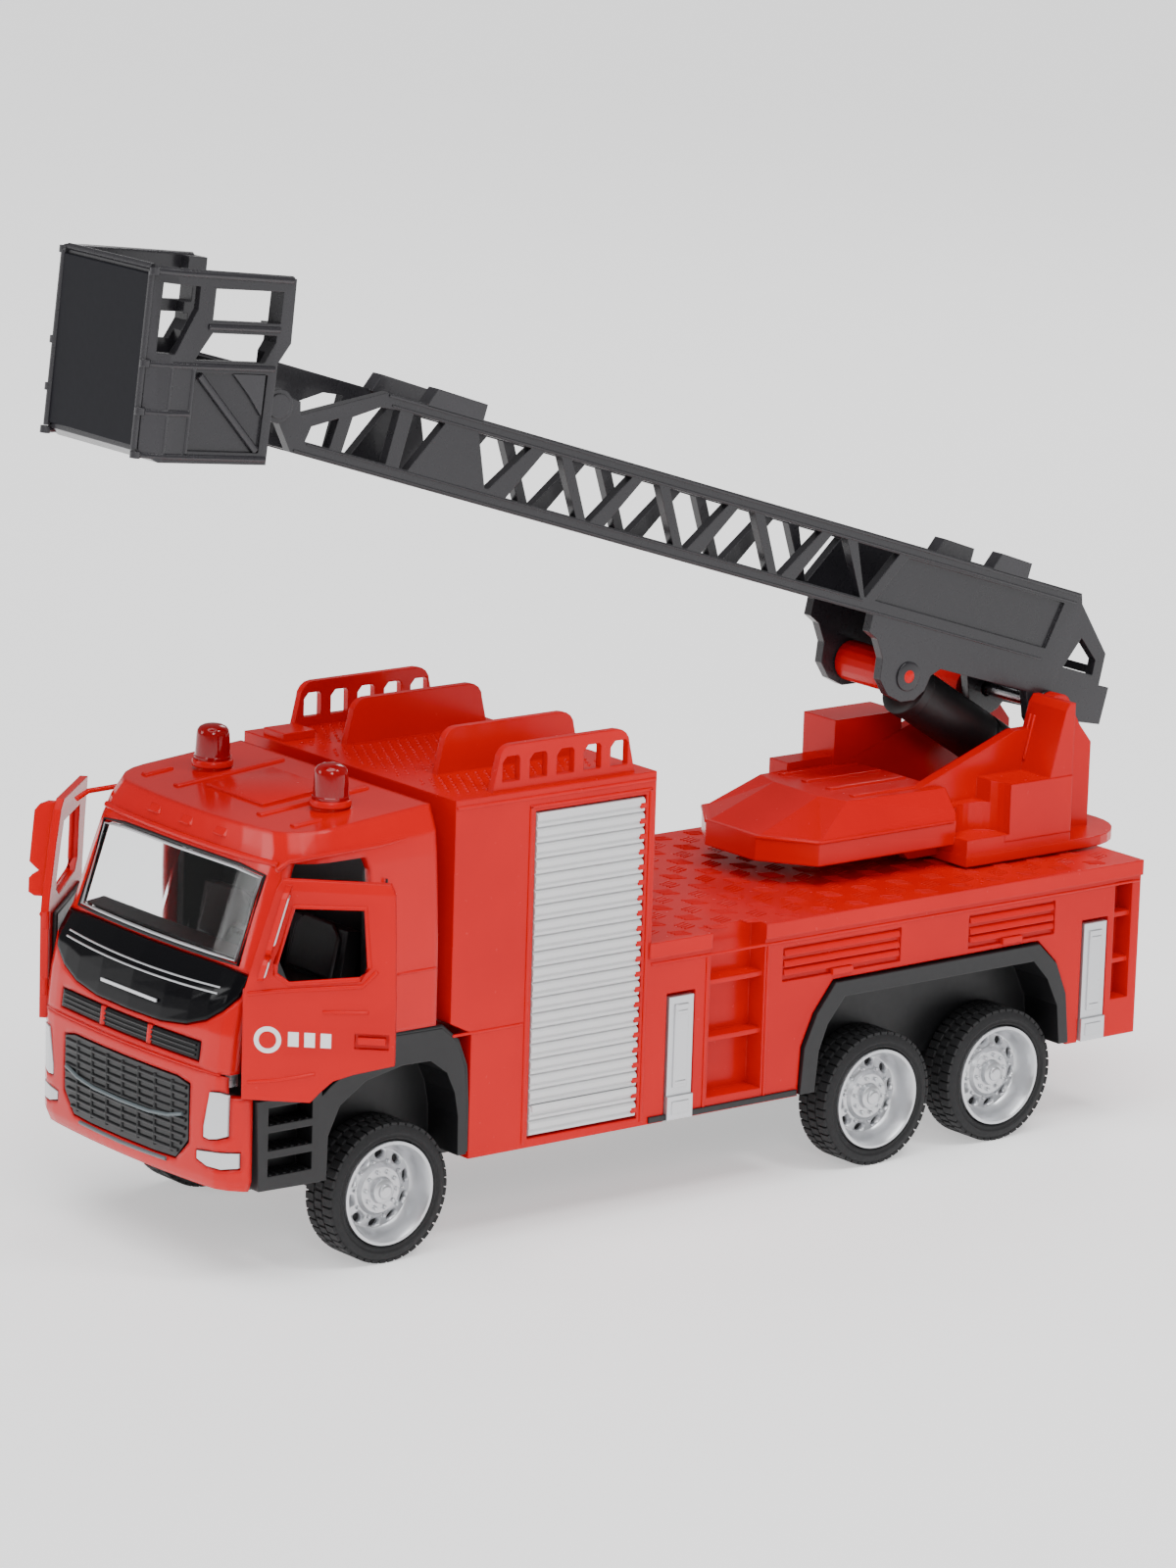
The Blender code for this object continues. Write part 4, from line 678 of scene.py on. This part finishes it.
# ------------------------------------------------------------------ basket
def basket():
    panel = Kit("basket_front", BASKET, "basket", PANEL)
    panel.rings([[(-10.5, f, 17.9), (10.5, f, 17.9), (10.5, f - 0.35, -6.2), (-10.5, f - 0.35, -6.2)]
                 for f in (24.5, 24.9)])
    panel.make(0.15)
    frame_bars = Kit("basket_bars", BASKET, "basket", CHARCOAL)
    for side in (-1, 1):
        x = side * 12.35
        frame_bars.tube([(x, 1.6, 18.1), (x, 20.4, 18.4), (side * 10.9, 24.4, 18.5)], 0.6)
        frame_bars.tube([(x, 3.0, 11.05), (x, 15.2, 11.05)], 0.5)
        for z in (5.5, -1.2, -7.3):
            reach = [(x, 3.2, z)] if z != -1.2 else [(x, 17.0, z)]
            frame_bars.tube(reach + [(x, 20.4, z), (side * 10.9, 24.3, z)], 0.5)
        frame_bars.tube([(x, 15.8, 4.2), (x, 4.9, -6.1)], 0.55)
        frame_bars.prism("x", [(4.6, 4.7), (10.2, 4.7), (7.0, 1.6), (4.6, -1.2)],
                         *sorted((side * 12.0, side * 12.5)))
        frame_bars.tube([(x, 16.9, -6.8), (x, 16.9, 5.2)], 0.4)
        frame_bars.tube([(x, 20.6, -7.3), (x, 20.6, 5.4)], 0.35)
        frame_bars.tube([(side * 10.85, 24.5, -6.6), (side * 10.85, 24.6, 18.3)], 0.5)
        for z in (-7.3, -1.2, 5.5, 18.3):
            frame_bars.turn("z", (side * 11.2, 24.4, 0), [(z - 0.5, 0.75), (z + 0.5, 0.75)], 12)
        frame_bars.turn("x", (side * 9.2, 0, 0), [(-side * 1.1, 1.8), (side * 1.25, 1.8)], 22)
    frame_bars.tube([(-10.4, 24.2, 18.8), (10.4, 24.2, 18.8)], 0.5)
    frame_bars.tube([(-11.8, 2.9, 4.75), (11.8, 2.9, 4.75)], 0.4)
    frame_bars.make()
    tread = Kit("basket_floor", BASKET, "basket", CHARCOAL)
    for i in range(-6, 7):
        for j in range(8):
            x, f = i * 1.55, 6.0 + j * 2.0
            lean = 0.4 if (i + j) % 2 else -0.4
            tread.prism("z", [(x - 0.2 - lean, f - 0.6), (x + 0.2 - lean, f - 0.6), (x + 0.2 + lean, f + 0.6),
                              (x - 0.2 + lean, f + 0.6)], -7.1, -6.8)
    tread.make()


# ------------------------------------------------------------------ floor, light and camera
FLOOR = 40                      # metres from the middle to each edge
FLOOR_GLOW = 0.62
SKY = 0.27
SUN, SUN_SPREAD, SUN_TILT = 2.5, 50, (14, 12)
# name, place in metres, size in metres, power in watts
LAMPS = (("key", (0.75, -0.5, 0.5), 0.22, 2.2), ("rim", (-0.5, 0.7, 0.6), 0.3, 1.5),
         ("left", (-0.5, -0.8, 0.35), 0.3, 1.4), ("strip", (0.35, 0.1, 0.55), 0.12, 0.9))
LENS = 151.75
AZIMUTH, ELEVATION, ROLL = 51.49, 13.24, 1.76
CAMERA_AT = (755.823, -522.874 - Y0, 286.391)


def studio():
    floor = bpy.data.meshes.new("floor")
    corners = [(-FLOOR, -FLOOR, 0), (FLOOR, -FLOOR, 0), (FLOOR, FLOOR, 0), (-FLOOR, FLOOR, 0)]
    floor.from_pydata(corners, [], [(0, 1, 2, 3)])
    ground = bpy.data.objects.new("floor", floor)
    bpy.context.scene.collection.objects.link(ground)
    white = finish("floor_white", (0.90, 0.90, 0.905), 0.7, grain=0.0, vary=0.01, soft=0.0, edge=0.0)
    shader = white.node_tree.nodes["Principled BSDF"]
    shader.inputs["Emission Color"].default_value = (1, 1, 1, 1)
    shader.inputs["Emission Strength"].default_value = FLOOR_GLOW
    floor.materials.append(white)
    world = bpy.data.worlds.new("studio")
    bpy.context.scene.world = world
    world.use_nodes = True
    world.node_tree.nodes["Background"].inputs["Color"].default_value = (1.0, 1.0, 1.0, 1)
    world.node_tree.nodes["Background"].inputs["Strength"].default_value = SKY
    sun = bpy.data.lights.new("overhead", 'SUN')
    sun.energy = SUN
    sun.angle = math.radians(SUN_SPREAD)
    obj = bpy.data.objects.new("overhead", sun)
    obj.rotation_euler = (math.radians(SUN_TILT[0]), math.radians(SUN_TILT[1]), 0)
    bpy.context.scene.collection.objects.link(obj)
    for name, at, size, power in LAMPS:
        lamp = bpy.data.lights.new(name, 'AREA')
        lamp.size = size
        lamp.energy = power
        obj = bpy.data.objects.new(name, lamp)
        obj.location = at
        obj.rotation_euler = (Vector((0, 0, 0.05)) - Vector(at)).to_track_quat('-Z', 'Y').to_euler()
        bpy.context.scene.collection.objects.link(obj)
    camera = bpy.data.cameras.new("camera")
    camera.lens = LENS
    camera.sensor_width = 36
    camera.clip_start = 0.01
    obj = bpy.data.objects.new("camera", camera)
    a, e, r = math.radians(AZIMUTH), math.radians(ELEVATION), math.radians(ROLL)
    across = Vector((math.cos(a), math.sin(a), 0))
    up = Vector((-math.sin(a) * math.sin(e), math.cos(a) * math.sin(e), math.cos(e)))
    back = Vector((math.sin(a) * math.cos(e), -math.cos(a) * math.cos(e), math.sin(e)))
    x = math.cos(r) * across + math.sin(r) * up
    y = -math.sin(r) * across + math.cos(r) * up
    place = Matrix((x, y, back)).transposed().to_4x4()
    place.translation = Vector(CAMERA_AT) * MM
    obj.matrix_world = place
    bpy.context.scene.collection.objects.link(obj)
    bpy.context.scene.camera = obj


deck()
body_sides()
cab()
doors()
boom()
turntable()
basket()
studio()

bpy.context.view_layer.update()
